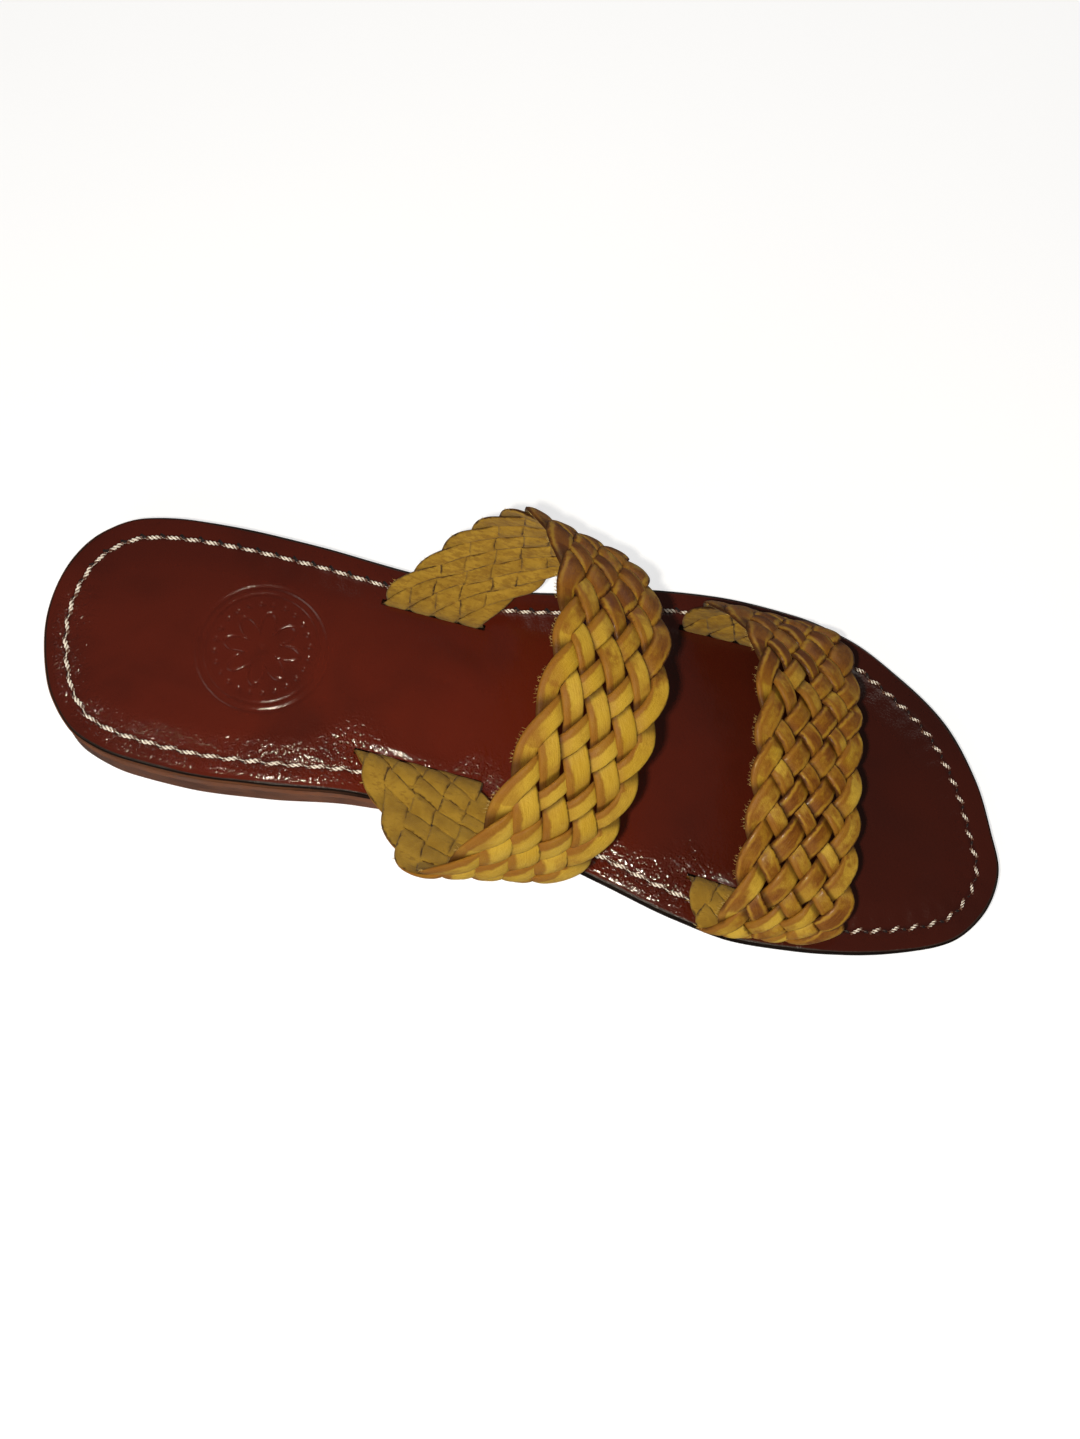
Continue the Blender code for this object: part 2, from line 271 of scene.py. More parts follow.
def makeOxblood(look):  # glazed hide, darker towards the toe and dyed nearly black at its rim
    material, tree, shader = newMaterial(
        "oxbloodHide", IOR=1.5, Specular_IOR_Level=0.46, Specular_Tint=(1.0, 0.92, 0.82, 1.0),
    )
    grain = useGroup(tree, hideGrain, {
        "Pore Scale": 1700.0, "Crease Scale": 260.0, "Crease Share": 0.3, "Patch Scale": 26.0,
    })
    point = objectPoint(tree)
    split = addNode(tree, "ShaderNodeSeparateXYZ", {"Vector": point}).outputs
    pulled = attributeNode(tree, "pulled")
    edge = scaleAdd(tree, grain["Patches"], 0.5, attributeNode(tree, "rim"))
    colour = layered(tree, look, "heel", (
        (rangeNode(tree, split["Y"], -0.03, 0.07), "waist"),
        (rangeNode(tree, split["Y"], 0.07, 0.19), "toe"),
        # darker towards the lateral side: painted shade
        (rangeNode(tree, split["X"], 0.005, -0.035, 0.0, 0.4), "deepToneAndShade"),
        (rangeNode(tree, grain["Patches"], 0.4, 0.78, 0.0, 0.5), "deepToneAndShade"),
        # darker along the sunk seam line: painted shade
        (rangeNode(tree, attributeNode(tree, "groove"), 0.15, 1.0, 0.0, 0.5), "deepToneAndShade"),
        (rangeNode(tree, edge, 0.92, 1.1), "rim"),
    ))
    glazed, dulled = look["roughness"] - 0.04, look["roughness"] + 0.08
    rough = scaleAdd(tree, pulled, -0.045, rangeNode(tree, grain["Patches"], 0.2, 0.8, glazed, dulled))
    rough = scaleAdd(tree, rangeNode(tree, edge, 0.85, 1.05), 0.2, rough)
    # where the hide is pulled it crumples, and its grain is stretched smooth
    facets = noiseNode(tree, point, 1020.0, 0.7, 0.4, 0.6)
    clusters = rangeNode(tree, noiseNode(tree, point, 140.0, 2.0), 0.4, 0.6, 0.9, 1.45)
    facets = times(tree, facets, times(tree, pulled, clusters))
    share = rangeNode(tree, pulled, 0.0, 1.0, look["grainShare"], 0.25 * look["grainShare"])
    height = scaleAdd(tree, grain["Height"], share, facets)
    feed(shader, {
        "Base Color": colour, "Roughness": rough, "Normal": bumpNode(tree, height, 1.0, look["depth"]),
    })
    return material


edgeLook = {"light": (0.125, 0.07, 0.04), "dark": (0.06, 0.03, 0.018), "raw": (0.44, 0.26, 0.15)}


def makeDarkEdge(look, name, rawBelow):  # dyed cut edge in thin layers, raw round the heel up to a level
    material, tree, shader = newMaterial(name, Specular_IOR_Level=0.06)
    fibres = useGroup(tree, nap, {"Fibre Scale": 2600.0, "Blotch Scale": 220.0})
    blotches = fibres["Blotches"]
    layers = noiseNode(tree, objectPoint(tree, (0.15, 0.15, 3.0)), 900.0, 3.0, 0.6)
    y = addNode(tree, "ShaderNodeSeparateXYZ", {"Vector": objectPoint(tree)}).outputs["Y"]
    heelward = rangeNode(tree, scaleAdd(tree, blotches, 0.03, y), 0.075, 0.035)
    level = scaleAdd(tree, blotches, 0.15, attributeNode(tree, "level"))
    level = mathNode(tree, "SUBTRACT", level, rangeNode(tree, y, -0.012, -0.026, 0.0, 0.4))
    raw = rangeNode(tree, level, rawBelow + 0.12, rawBelow, 0.0, 0.85)
    colour = layered(tree, look, "dark", (
        (rangeNode(tree, scaleAdd(tree, layers, 0.6, blotches), 0.55, 1.1), "light"),
        (times(tree, heelward, raw), "raw"),
    ))
    height = scaleAdd(tree, layers, 1.2, fibres["Height"])
    feed(shader, {
        "Base Color": colour, "Roughness": rangeNode(tree, blotches, 0.3, 0.7, 0.6, 0.8),
        "Normal": bumpNode(tree, height, 0.4, 0.08 * mm),
    })
    return material


russetLook = {"light": (0.45, 0.26, 0.15), "dark": (0.31, 0.165, 0.09)}


def makeRusset(look):  # raw stacked leather, matt
    material, tree, shader = newMaterial("russetStack")
    fibres = useGroup(tree, nap, {"Fibre Scale": 1800.0, "Blotch Scale": 130.0})
    layers = noiseNode(tree, objectPoint(tree, (0.1, 0.1, 2.0)), 700.0, 4.0, 0.65)
    share = rangeNode(tree, scaleAdd(tree, layers, 0.7, fibres["Blotches"]), 0.5, 1.2)
    height = scaleAdd(tree, layers, 1.5, fibres["Height"])
    feed(shader, {
        "Base Color": mixColour(tree, share, look["dark"], look["light"]),
        "Roughness": rangeNode(tree, fibres["Blotches"], 0.3, 0.7, 0.6, 0.85),
        "Normal": bumpNode(tree, height, 0.5, 0.12 * mm),
    })
    return material


stripLook = {
    "gold": (0.685, 0.535, 0.14), "pale": (0.745, 0.605, 0.205), "burnishAndShade": (0.525, 0.325, 0.09),
    "russet": (0.46, 0.255, 0.05), "umber": (0.36, 0.18, 0.035), "dark": (0.225, 0.115, 0.025),
    "roughness": 0.44,
}


# Waxed mustard strips: a burnished stripe along the rear edge, wider where a strip dives, and a brown that
# grows towards the lateral end of each strap, partly real brown staining and partly painted shade on the
# side away from the light.
def makeStripLeather(look):
    material, tree, shader = newMaterial(
        "stripLeather", Coat_Roughness=0.22, Specular_IOR_Level=0.18, IOR=1.45,
    )
    grain = useGroup(tree, hideGrain, {
        "Pore Scale": 2600.0, "Crease Scale": 420.0, "Crease Share": 0.35, "Patch Scale": 110.0,
    })
    patches, point = grain["Patches"], objectPoint(tree)
    across, dive, tone, run, stain, fibre = (
        attributeNode(tree, label) for label in ("across", "dive", "tone", "run", "stain", "fibre")
    )

    def centred(value):
        return mathNode(tree, "SUBTRACT", value, 0.5)

    wobble = centred(noiseNode(tree, point, 260.0, 4.0, 0.6))
    brush = centred(noiseNode(tree, point, 900.0, 3.0, 0.7))
    grainLine = addNode(tree, "ShaderNodeCombineXYZ", {"X": times(tree, across, 7.0), "Y": fibre})
    streak = noiseNode(tree, grainLine.outputs["Vector"], 1.0, 4.0, 0.65)
    pale = mathNode(tree, "MULTIPLY_ADD", centred(streak), 2.4, tone, clamp=True)
    brownedAndShaded = scaleAdd(tree, centred(patches), 1.7, stain)
    brownedAndShaded = scaleAdd(tree, centred(tone), -0.4, brownedAndShaded)
    brownedAndShaded = scaleAdd(tree, brush, 0.4, brownedAndShaded)
    umberAndShade = scaleAdd(tree, centred(streak), 1.2, brownedAndShaded)
    place = scaleAdd(tree, brush, 0.3, scaleAdd(tree, wobble, 0.55, across))
    inner = rangeNode(tree, run, -0.45, 0.0, -0.86, -0.52)  # how far the stripe reaches in from the edge
    inner = mathNode(tree, "SUBTRACT", place, scaleAdd(tree, tone, 0.25, inner))
    strength = scaleAdd(tree, wobble, 0.6, 0.84)
    stripe = mathNode(tree, "MULTIPLY", rangeNode(tree, inner, 0.15, -0.12), strength, clamp=True)
    fromMiddle = mathNode(tree, "ABSOLUTE", place)
    brownShadeShare = rangeNode(tree, brownedAndShaded, 0.35, 0.9, 0.0, 0.6)
    bright = times(tree, rangeNode(tree, fromMiddle, 0.45, 0.68), rangeNode(tree, fromMiddle, 0.9, 0.74))
    bright = times(tree, bright, rangeNode(tree, patches, 0.34, 0.6, 0.2, 1.0))
    # darker along both edges of each strip where it is browned: painted shade between the strips
    paintedEdgeShade = times(tree, rangeNode(tree, fromMiddle, 0.78, 1.0), times(tree, brownShadeShare, 1.4))
    colour = layered(tree, look, "gold", (
        (pale, "pale"),
        (rangeNode(tree, scaleAdd(tree, brush, 0.35, patches), 0.45, 0.8, 0.0, 0.5), "burnishAndShade"),
        # browner towards the lateral end of each strap: partly real brown staining, partly painted shade on
        # the side away from the light
        (rangeNode(tree, brownedAndShaded, 0.2, 0.85, 0.0, 0.9), "russet"),
        (rangeNode(tree, umberAndShade, 0.65, 1.25, 0.0, 0.9), "umber"),
        (stripe, "burnishAndShade"),
        # each shown stretch of a strip darker towards the end where it dives: painted shade
        (rangeNode(tree, run, 0.0, 0.34, 0.0, 0.45), "burnishAndShade"),
        # darker along each strip's front edge: painted shade
        (rangeNode(tree, place, 0.86, 1.05, 0.0, 0.75), "dark"),
        (times(tree, bright, brownShadeShare), "gold"),
        (paintedEdgeShade, "dark"),
        # darker where a strip goes under the next: painted shade
        (rangeNode(tree, dive, 0.1, -0.6, 0.0, 0.75), "dark"),  # where a strip goes under the next
    ))
    rough = rangeNode(tree, patches, 0.25, 0.75, look["roughness"] - 0.07, look["roughness"] + 0.13)
    cutSide = rangeNode(tree, mathNode(tree, "ABSOLUTE", across), 0.9, 0.99, 0.0, 0.35)
    height = scaleAdd(tree, streak, 2.0, scaleAdd(tree, brush, 0.8, grain["Height"]))
    feed(shader, {
        "Base Color": colour, "Roughness": mathNode(tree, "ADD", rough, cutSide),
        "Coat Weight": rangeNode(tree, brownedAndShaded, 0.35, 0.95, 0.0, 0.14),
        "Normal": bumpNode(tree, height, 0.6, 0.12 * mm),
    })
    return material


suedeLook = {
    "light": (0.69, 0.54, 0.18), "dark": (0.59, 0.445, 0.135), "smudge": (0.43, 0.28, 0.085),
    "line": (0.25, 0.15, 0.05), "hole": (0.09, 0.045, 0.02),
}
fibreLook = {
    "light": (0.92, 0.80, 0.48), "dark": (0.80, 0.64, 0.30), "smudge": (0.70, 0.52, 0.22),
    "line": (0.5, 0.36, 0.14), "hole": (0.5, 0.36, 0.14),
}


def makeSuede(look, name):  # flesh side of the strips
    material, tree, shader = newMaterial(
        name, Roughness=0.9, Specular_IOR_Level=0.2, Sheen_Weight=0.08, Sheen_Roughness=0.5,
    )
    fibres = useGroup(tree, nap, {"Fibre Scale": 2400.0, "Blotch Scale": 170.0})
    blotches, point = fibres["Blotches"], objectPoint(tree)
    across, dive = attributeNode(tree, "across"), attributeNode(tree, "dive")
    smudges = noiseNode(tree, objectPoint(tree, (3.0, 1.0, 3.0)), 300.0, 5.0, 0.7)
    smudges = mathNode(tree, "ADD", smudges, attributeNode(tree, "wear"))
    smudges = scaleAdd(tree, blotches, 0.3, smudges)
    # darker lines along the strips' edges, where they meet: painted shade
    edgeShade = scaleAdd(tree, blotches, 0.25, mathNode(tree, "ABSOLUTE", across))
    edgeShade = scaleAdd(tree, noiseNode(tree, point, 620.0, 3.0, 0.7), 0.5, edgeShade)
    showing = rangeNode(tree, noiseNode(tree, point, 190.0, 1.0), 0.42, 0.58, 0.25, 1.0)
    # small dark dots at the strips' corners: painted shade of holes
    cornerHoleShade = scaleAdd(tree, mathNode(tree, "ABSOLUTE", dive), -0.6, edgeShade)
    colour = layered(tree, look, "dark", (
        (rangeNode(tree, blotches, 0.32, 0.68), "light"),
        (rangeNode(tree, smudges, 0.69, 0.84, 0.0, 0.5), "smudge"),
        (times(tree, rangeNode(tree, edgeShade, 1.16, 1.38, 0.0, 0.95), showing), "line"),
        (rangeNode(tree, cornerHoleShade, 1.24, 1.34, 0.0, 0.9), "hole"),
        # darker where the back of a strip lies recessed: painted shade
        (rangeNode(tree, dive, 0.2, 0.9, 0.0, 0.3), "line"),
    ))
    feed(shader, {"Base Color": colour, "Normal": bumpNode(tree, fibres["Height"], 1.0, 0.26 * mm)})
    return material


threadLook = {"light": (1.0, 0.96, 0.89), "tan": (0.40, 0.25, 0.17)}


def makeThread(look):  # waxed linen thread, tan towards its ends where it goes down, with painted shade between its plies
    material, tree, shader = newMaterial("waxedThread", Roughness=0.4, Specular_IOR_Level=0.6)
    fibres = useGroup(tree, nap, {"Fibre Scale": 5200.0, "Blotch Scale": 260.0})
    ends = scaleAdd(tree, fibres["Blotches"], 0.4, attributeNode(tree, "ends"))
    # darker in the hollow between the plies: painted shade
    ends = scaleAdd(tree, attributeNode(tree, "crease"), 0.7, ends)
    feed(shader, {
        "Base Color": mixColour(tree, rangeNode(tree, ends, 0.5, 1.2), look["light"], look["tan"]),
        "Normal": bumpNode(tree, fibres["Height"], 0.4, 0.05 * mm),
    })
    return material


holeLook = {"dark": (0.05, 0.02, 0.015), "light": (0.14, 0.05, 0.04)}


# dark discs in the awl holes: painted shade
def makeHoleDark(look):
    material, tree, shader = newMaterial("awlHoleShade", Roughness=0.8)
    blotches = useGroup(tree, nap, {"Fibre Scale": 2600.0, "Blotch Scale": 400.0})["Blotches"]
    share = rangeNode(tree, blotches, 0.3, 0.7)
    feed(shader, {"Base Color": mixColour(tree, share, look["dark"], look["light"])})
    return material


floorLook = {"dark": (0.66, 0.66, 0.66), "light": (0.68, 0.68, 0.68)}


def makeFloorPaint(look):
    material, tree, shader = newMaterial(
        "paleFloor", Roughness=0.75, Emission_Color=(1.0, 1.0, 1.0, 1.0), Emission_Strength=0.7,
    )
    tone = noiseNode(tree, objectPoint(tree), 9.0, 3.0, 0.5)
    feed(shader, {"Base Color": mixColour(tree, tone, look["dark"], look["light"])})
    return material


oxblood = makeOxblood(oxbloodLook)
darkEdge = makeDarkEdge(edgeLook, "darkEdge", 0.55)
soleEdge = makeDarkEdge(edgeLook, "soleEdge", 1.3)
russet = makeRusset(russetLook)
stripLeather = makeStripLeather(stripLook)
suede = makeSuede(suedeLook, "suedeBack")
looseFibre = makeSuede(fibreLook, "looseFibre")
thread = makeThread(threadLook)
holeDark = makeHoleDark(holeLook)
print("materials made")


sole = {
    "length": 254.0 * mm, "heelCentre": 37.0 * mm, "gap": 0.3 * mm,
    "outsoleThickness": 2.2 * mm, "footbedThickness": 2.3 * mm,
    "outline": (  # station, lateral edge, medial edge (mm)
        (0.000, -3.5, -3.5), (0.008, -16.2, 9.0), (0.030, -25.4, 21.4), (0.070, -31.9, 30.4),
        (0.120, -34.2, 33.2), (0.180, -34.8, 33.8), (0.260, -34.2, 32.1), (0.350, -33.3, 28.8),
        (0.430, -34.3, 28.0), (0.520, -38.8, 31.0), (0.610, -45.0, 36.5), (0.690, -46.7, 41.6),
        (0.755, -45.8, 44.0), (0.813, -42.3, 43.1), (0.870, -34.8, 41.0), (0.923, -24.9, 37.4),
        (0.965, -10.2, 32.6), (0.990, 4.6, 24.8), (1.000, 14.0, 14.0),
    ),
    "lift": (  # station, underside of the outsole over the floor (mm)
        (0.00, 7.0), (0.24, 7.0), (0.31, 5.9), (0.38, 3.9), (0.45, 1.8), (0.51, 0.5),
        (0.57, 0.0), (0.82, 0.0), (0.90, 0.4), (1.00, 2.2),
    ),
}


def stationAngle(station):  # stations as an angle, in which a round end leaves its tip evenly
    return np.arccos(1.0 - 2.0 * np.clip(station, 0.0, 1.0))


outlineRows, liftRows = np.array(sole["outline"]), np.array(sole["lift"])
lateralEdge, medialEdge = (
    smoothCurve(stationAngle(outlineRows[:, 0]), outlineRows[:, side] * mm) for side in (1, 2)
)
soleLift = smoothCurve(liftRows[:, 0], liftRows[:, 1] * mm)


def bedHeight(y):  # plain top of the footbed
    station = (np.asarray(y, float) + sole["heelCentre"]) / sole["length"]
    return soleLift(station) + sole["outsoleThickness"] + sole["gap"] + sole["footbedThickness"]


def outlineLoop(count):  # points round the sole, from the heel's tip along the medial side
    angle = np.linspace(0.0, 2.0 * math.pi, count, endpoint=False)
    folded = np.where(angle <= math.pi, angle, 2.0 * math.pi - angle)
    x = np.where(angle <= math.pi, medialEdge(folded), lateralEdge(folded))  # up one side, down the other
    y = (1.0 - np.cos(folded)) / 2.0 * sole["length"] - sole["heelCentre"]
    return np.column_stack([x, y])


stitch = {
    "seam": 5.7 * mm, "medialPitch": 5.45 * mm, "lateralPitch": 5.1 * mm, "waistPitch": 4.15 * mm,
    "toePitch": 4.85 * mm, "length": 4.9 * mm, "plyRadius": 0.31 * mm, "plyOffset": 0.28 * mm, "turns": 2.0,
    "steps": 14, "sides": 6, "sink": 0.5 * mm, "lift": 0.2 * mm, "slant": 10.0, "toeSlant": 15.0,
    "lateralSlant": -7.0, "link": 0.16 * mm, "linkSlant": 14.0, "hole": 0.42 * mm, "holeDepth": 0.3 * mm,
    "holeSlant": 28.0, "holeLift": 0.05 * mm, "seed": 5,
    # where the pitch changes, and the stitches themselves
    "waist": mms(88, 42), "medialReach": mms(-12, 14), "toeReach": mms(140, 190),
    "toeward": mms(130, 200), "lateralReach": mms(0, 20),
}


def stitchPitch(x, y):  # stitches crowd together along the lateral waist
    waist = bump(y, *stitch["waist"])
    lateral = stitch["lateralPitch"] * (1.0 - waist) + stitch["waistPitch"] * waist
    pitch = lateral + (stitch["medialPitch"] - lateral) * smoothStep(x, *stitch["medialReach"])
    return pitch + (stitch["toePitch"] - pitch) * smoothStep(y, *stitch["toeReach"])


rimLoop = outlineLoop(6000)
rimHeading = np.roll(rimLoop, -1, axis=0) - np.roll(rimLoop, 1, axis=0)
rimHeading /= np.linalg.norm(rimHeading, axis=1)[:, None]
seamLine = rimLoop + stitch["seam"] * np.column_stack([-rimHeading[:, 1], rimHeading[:, 0]])
seamSteps = np.linalg.norm(np.roll(seamLine, -1, axis=0) - seamLine, axis=1) / stitchPitch(*seamLine.T)
stitchCount = round(seamSteps.sum())
seamPhase = np.concatenate([[0.0], np.cumsum(seamSteps)[:-1]]) * stitchCount / seamSteps.sum()

rimTree = kdtree.KDTree(len(rimLoop))
for rimIndex, rimPoint in enumerate(rimLoop):
    rimTree.insert((rimPoint[0], rimPoint[1], 0.0), rimIndex)
rimTree.balance()


def rimPlace(x, y):  # how far in from the rim, and which stitch is beside it
    _, index, distance = rimTree.find((x, y, 0.0))
    return distance, seamPhase[index]


def soleMesh(look, underside, topside):  # a grid over the outline between two heights, divided as look says
    rows, rimSteps, middle = look["rows"], np.array(look["rimSteps"]) * mm, look["middle"]
    last = float(stationAngle(look.get("lastStation", 1.0)))
    columns = 2 * (len(rimSteps) - 1) + middle
    bm = bmesh.new()
    angleOf, columnOf, levelOf = newLayers(bm, "angle", "column", "level")
    bmesh.ops.create_grid(bm, x_segments=columns, y_segments=rows, size=1.0)
    for vertex in bm.verts:
        vertex[angleOf] = (vertex.co.y + 1.0) / 2.0 * last
        vertex[columnOf] = round((vertex.co.x + 1.0) / 2.0 * columns)
    for vertex in verticesOf(bmesh.ops.extrude_face_region(bm, geom=list(bm.faces))["geom"]):
        vertex[levelOf] = 1.0
    walls = [e for e in bm.edges if e.verts[0][levelOf] != e.verts[1][levelOf]]
    bmesh.ops.subdivide_edges(bm, edges=walls, cuts=2, use_grid_fill=True)
    for face in bm.faces:  # 0 the top, 1 the cut edge, 2 the underside
        levels = [vertex[levelOf] for vertex in face.verts]
        face.material_index = 0 if min(levels) > 0.99 else 2 if max(levels) < 0.01 else 1

    angle, column, level = readLayers(bm, (angleOf, columnOf, levelOf))
    station = (1.0 - np.cos(angle)) / 2.0
    lateral, medial = lateralEdge(angle), medialEdge(angle)
    atRim = np.minimum(level, 1.0 - level) < 0.01
    inset = look["inset"] + np.where(atRim, look["round"], 0.0)
    half = np.maximum((medial - lateral) / 2.0 - inset, 0.0)
    squeeze = np.minimum(half / (1.3 * rimSteps[-1]), 1.0)
    fromSide = np.minimum(column, columns - column)  # columns in from the nearer rim
    near = np.interp(fromSide, np.arange(len(rimSteps)), rimSteps) * squeeze
    inner = half - rimSteps[-1] * squeeze
    share = np.abs(column - columns / 2.0) / (middle / 2.0)
    reach = np.where(fromSide < len(rimSteps) - 1, half - near, inner * share)
    x = (lateral + medial) / 2.0 + np.sign(column - columns / 2.0) * reach
    y = inset + station * (sole["length"] - 2.0 * inset) - sole["heelCentre"]
    low, high = underside(station), topside(station)
    heights = np.array([low, low + look["round"], high - look["round"], high])
    z = heights[np.round(3.0 * level).astype(int), np.arange(len(level))]
    for vertex, place in zip(bm.verts, np.column_stack([x, y, z])):
        vertex.co = place
    bmesh.ops.remove_doubles(bm, verts=bm.verts, dist=0.01 * mm)
    bmesh.ops.recalc_face_normals(bm, faces=bm.faces)
    return bm, levelOf


plait = {
    "strips": 8, "rows": 7, "halfWidth": 18.6 * mm, "wall": 1.7 * mm, "rise": 1.1 * mm,
    "tightShare": 0.98, "thickness": 1.45 * mm, "lift": 0.76 * mm, "tightLift": 0.55 * mm,
    "turnRound": 0.33, "plateau": 0.72, "sway": 0.33 * mm, "swell": 0.09, "thicken": 0.06, "tilt": 0.08,
    "bounce": 0.08 * mm, "alongPerPitch": 22, "acrossSegments": 8, "crowding": 0.72,
    "slotThickness": 0.8 * mm, "slotLift": 0.3 * mm, "slotReach": mms(2.4, 5.4), "unskews": mms(22, 5),
}

# rear x, y, z, front x, y, z: x towards the big toe, y from the heel's end, z over the footbed (mm)
instepSections = (
    (-25.2, 83.0, -2.1, -25.2, 112.0, -2.1),  # lateral foot
    (-25.4, 83.2, 0.4, -25.4, 112.2, 0.4),  # lateral lip
    (-34.4, 91.6, 6.9, -33.6, 121.8, 7.4),  # lateral flare
    (-43.0, 101.4, 15.2, -40.0, 132.2, 16.0),  # lateral side
    (-45.2, 115.0, 31.0, -38.8, 145.6, 30.2),  # lateral wall
    (-29.6, 126.8, 46.8, -24.0, 156.0, 40.4),  # lateral shoulder
    (-2.0, 131.4, 53.2, -3.0, 161.2, 44.2),  # crest
    (25.0, 128.6, 47.0, 17.6, 160.0, 37.4),  # medial shoulder
    (45.4, 121.2, 33.2, 34.4, 155.4, 25.6),  # medial wall
    (50.8, 107.8, 16.0, 43.2, 145.2, 14.0),  # medial side
    (33.8, 94.8, 6.0, 33.4, 131.2, 6.2),  # medial flare
    (20.0, 85.8, 0.4, 20.6, 120.2, 0.4),  # medial lip
    (19.8, 85.6, -2.1, 20.4, 120.0, -2.1),  # medial foot
)
toeSections = (
    (-37.8, 161.0, -2.1, -36.8, 192.8, -2.1),  # lateral foot
    (-38.0, 161.2, 0.4, -37.0, 193.0, 0.4),  # lateral lip
    (-40.6, 164.4, 10.4, -40.6, 198.8, 8.0),  # lateral side
    (-36.0, 169.6, 22.0, -37.2, 204.2, 14.8),  # lateral wall
    (-25.2, 177.8, 33.8, -22.6, 209.4, 20.6),  # lateral shoulder
    (-2.0, 183.2, 37.6, 2.6, 213.6, 22.8),  # crest
    (23.0, 185.2, 30.0, 26.0, 216.4, 20.2),  # medial shoulder
    (41.6, 184.8, 17.6, 40.2, 215.8, 12.8),  # medial wall
    (46.4, 181.2, 7.2, 42.6, 210.2, 6.0),  # medial side
    (32.4, 175.4, 0.4, 35.0, 203.8, 0.4),  # medial lip
    (32.2, 175.3, -2.1, 34.8, 203.7, -2.1),  # medial foot
)


def strapForm(sections):  # gives a strap's length, and its points for arrays of along, across and height
    rear, front = np.hsplit(np.array(sections) * mm, 2)
    middle = (rear + front) / 2.0
    knots = np.concatenate([[0.0], np.cumsum(np.linalg.norm(np.diff(middle, axis=0), axis=1))])
    edges = []
    for edge in (rear, front):
        edge[:, 1] -= sole["heelCentre"]
        edge[:, 2] += np.interp(knots, (knots[0], knots[-1]), bedHeight(edge[[0, -1], 1]))
        edges.append(throughPoints(knots, edge))
    rearAt, frontAt = edges

    def atPlace(place, across):
        across = across[:, None]
        return (rearAt(place) * (1.0 - across) + frontAt(place) * (1.0 + across)) / 2.0

    places = np.linspace(knots[0], knots[-1], 400)
    path = atPlace(places, np.zeros(400))
    lengths = np.concatenate([[0.0], np.cumsum(np.linalg.norm(np.diff(path, axis=0), axis=1))])

    def point(along, across, height):
        place = np.interp(along, lengths, places)
        step = 0.2 * mm
        low, high = np.maximum(place - step, places[0]), np.minimum(place + step, places[-1])
        tangent = atPlace(high, across) - atPlace(low, across)
        normal = np.cross(tangent, frontAt(place) - rearAt(place))
        normal /= np.linalg.norm(normal, axis=1)[:, None]
        return atPlace(place, across) + height[:, None] * normal

    return lengths[-1], point


straps = {
    "instep": {
        "form": strapForm(instepSections), "seed": 11, "node": "instep_strap",
        "pitch": 13.9 * mm, "spread": -0.26, "shift": 1.0 * mm,
        "lateralReach": mms(34, 60), "medialReach": mms(50, 72),
        "skew": 0.31, "skews": mms(85, 113),
        "loose": mms(74, 94, 136, 154), "looseWidth": 5.65 * mm, "wear": 0.08,
        "stain": (0.84, 0.0, 0.2), "stains": mms(82, 108, 150, 175),
    },
    "toe": {
        "form": strapForm(toeSections), "seed": 23, "node": "toe_strap",
        "pitch": 10.0 * mm, "spread": 0.14, "shift": -0.9 * mm,
        "lateralReach": mms(6, 26), "medialReach": mms(6, 26),
        "skew": -0.36, "skews": mms(42, 64),
        "loose": mms(34, 46, 108, 120), "looseWidth": 5.1 * mm, "wear": 0.13,
        "stain": (0.95, 0.62, 0.58), "stains": mms(30, 58, 95, 125),
    },
}


slotDepth = -plait["rise"] - plait["wall"] / 2.0
slots = [  # rear and front ends of each slot's middle line
    strap["form"][1](np.full(2, at), np.array([-1.0, 1.0]), np.full(2, slotDepth))
    for strap in straps.values() for at in (0.0, strap["form"][0])
]


footbed = {
    "rows": 370, "middle": 56, "inset": 0.0, "round": 0.25 * mm,
    "rimSteps": (0.0, 0.25, 0.6, 1.1, 1.8, 2.6, 3.4, 4.2, 4.8, 5.3, 5.7, 6.1, 6.6, 7.2, 8.0, 9.0, 10.2),
    "rollWidth": 1.0 * mm, "roll": 0.04 * mm,
    "seamDepth": 0.2 * mm, "seamWidth": 0.9 * mm, "pucker": 0.07 * mm, "puckerPhase": 0.1,
    "puckerRows": (mms(2.6, 1.7) + (1.0,), mms(-2.3, 1.3) + (0.8,)),  # in from the seam, width, share
    "pillow": 0.95 * mm, "pillowReach": 8.2 * mm,
    "slotWidth": 1.55 * mm, "slotClearance": -0.6 * mm, "slotEase": 10 * mm, "slotReach": mms(1, 16),
    "slotField": mms(16, -12, 34),  # past its ends, outwards and inwards
    "lip": mms(0.8, 3.4, 4, 16), "lipHeight": mms(0.1, 0.42),
    "lipDip": 0.15 * mm, "dipWidth": 1.6 * mm, "dipEase": mms(6, 1),
    # where the hide is pulled: from the edge, along the heel, across, along the toes, round a slot's end
    "pulledBand": mms(1, 3, 8, 15), "pulledHeel": mms(20, 60), "pulledSide": mms(-14, 0),
    "pulledToe": mms(130, 160), "pulledSlot": 7 * mm, "rimWidth": 2.4 * mm,
    "stampPlace": mms(-3.0, 20.0), "stampRadius": 17.0 * mm, "stampDepth": 0.3 * mm, "stampDots": 24,
    "stampGap": 2.0 * mm, "stampLines": mms(0.55, 0.4, 0.5, 1.2, 0.6),  # rings, petals, middle and dots
    "welt": 0.09 * mm, "ripple": 0.09 * mm, "rippleEase": 4 * mm,
    # place, reach and depth
    "heelSeat": mms(-1.0, 2.0, 24.0, 0.5), "ball": mms(0.0, 128.0, 26.0, 0.45),
    "sizeDent": mms(-5.5, 68.0, 1.3, 0.25),
}


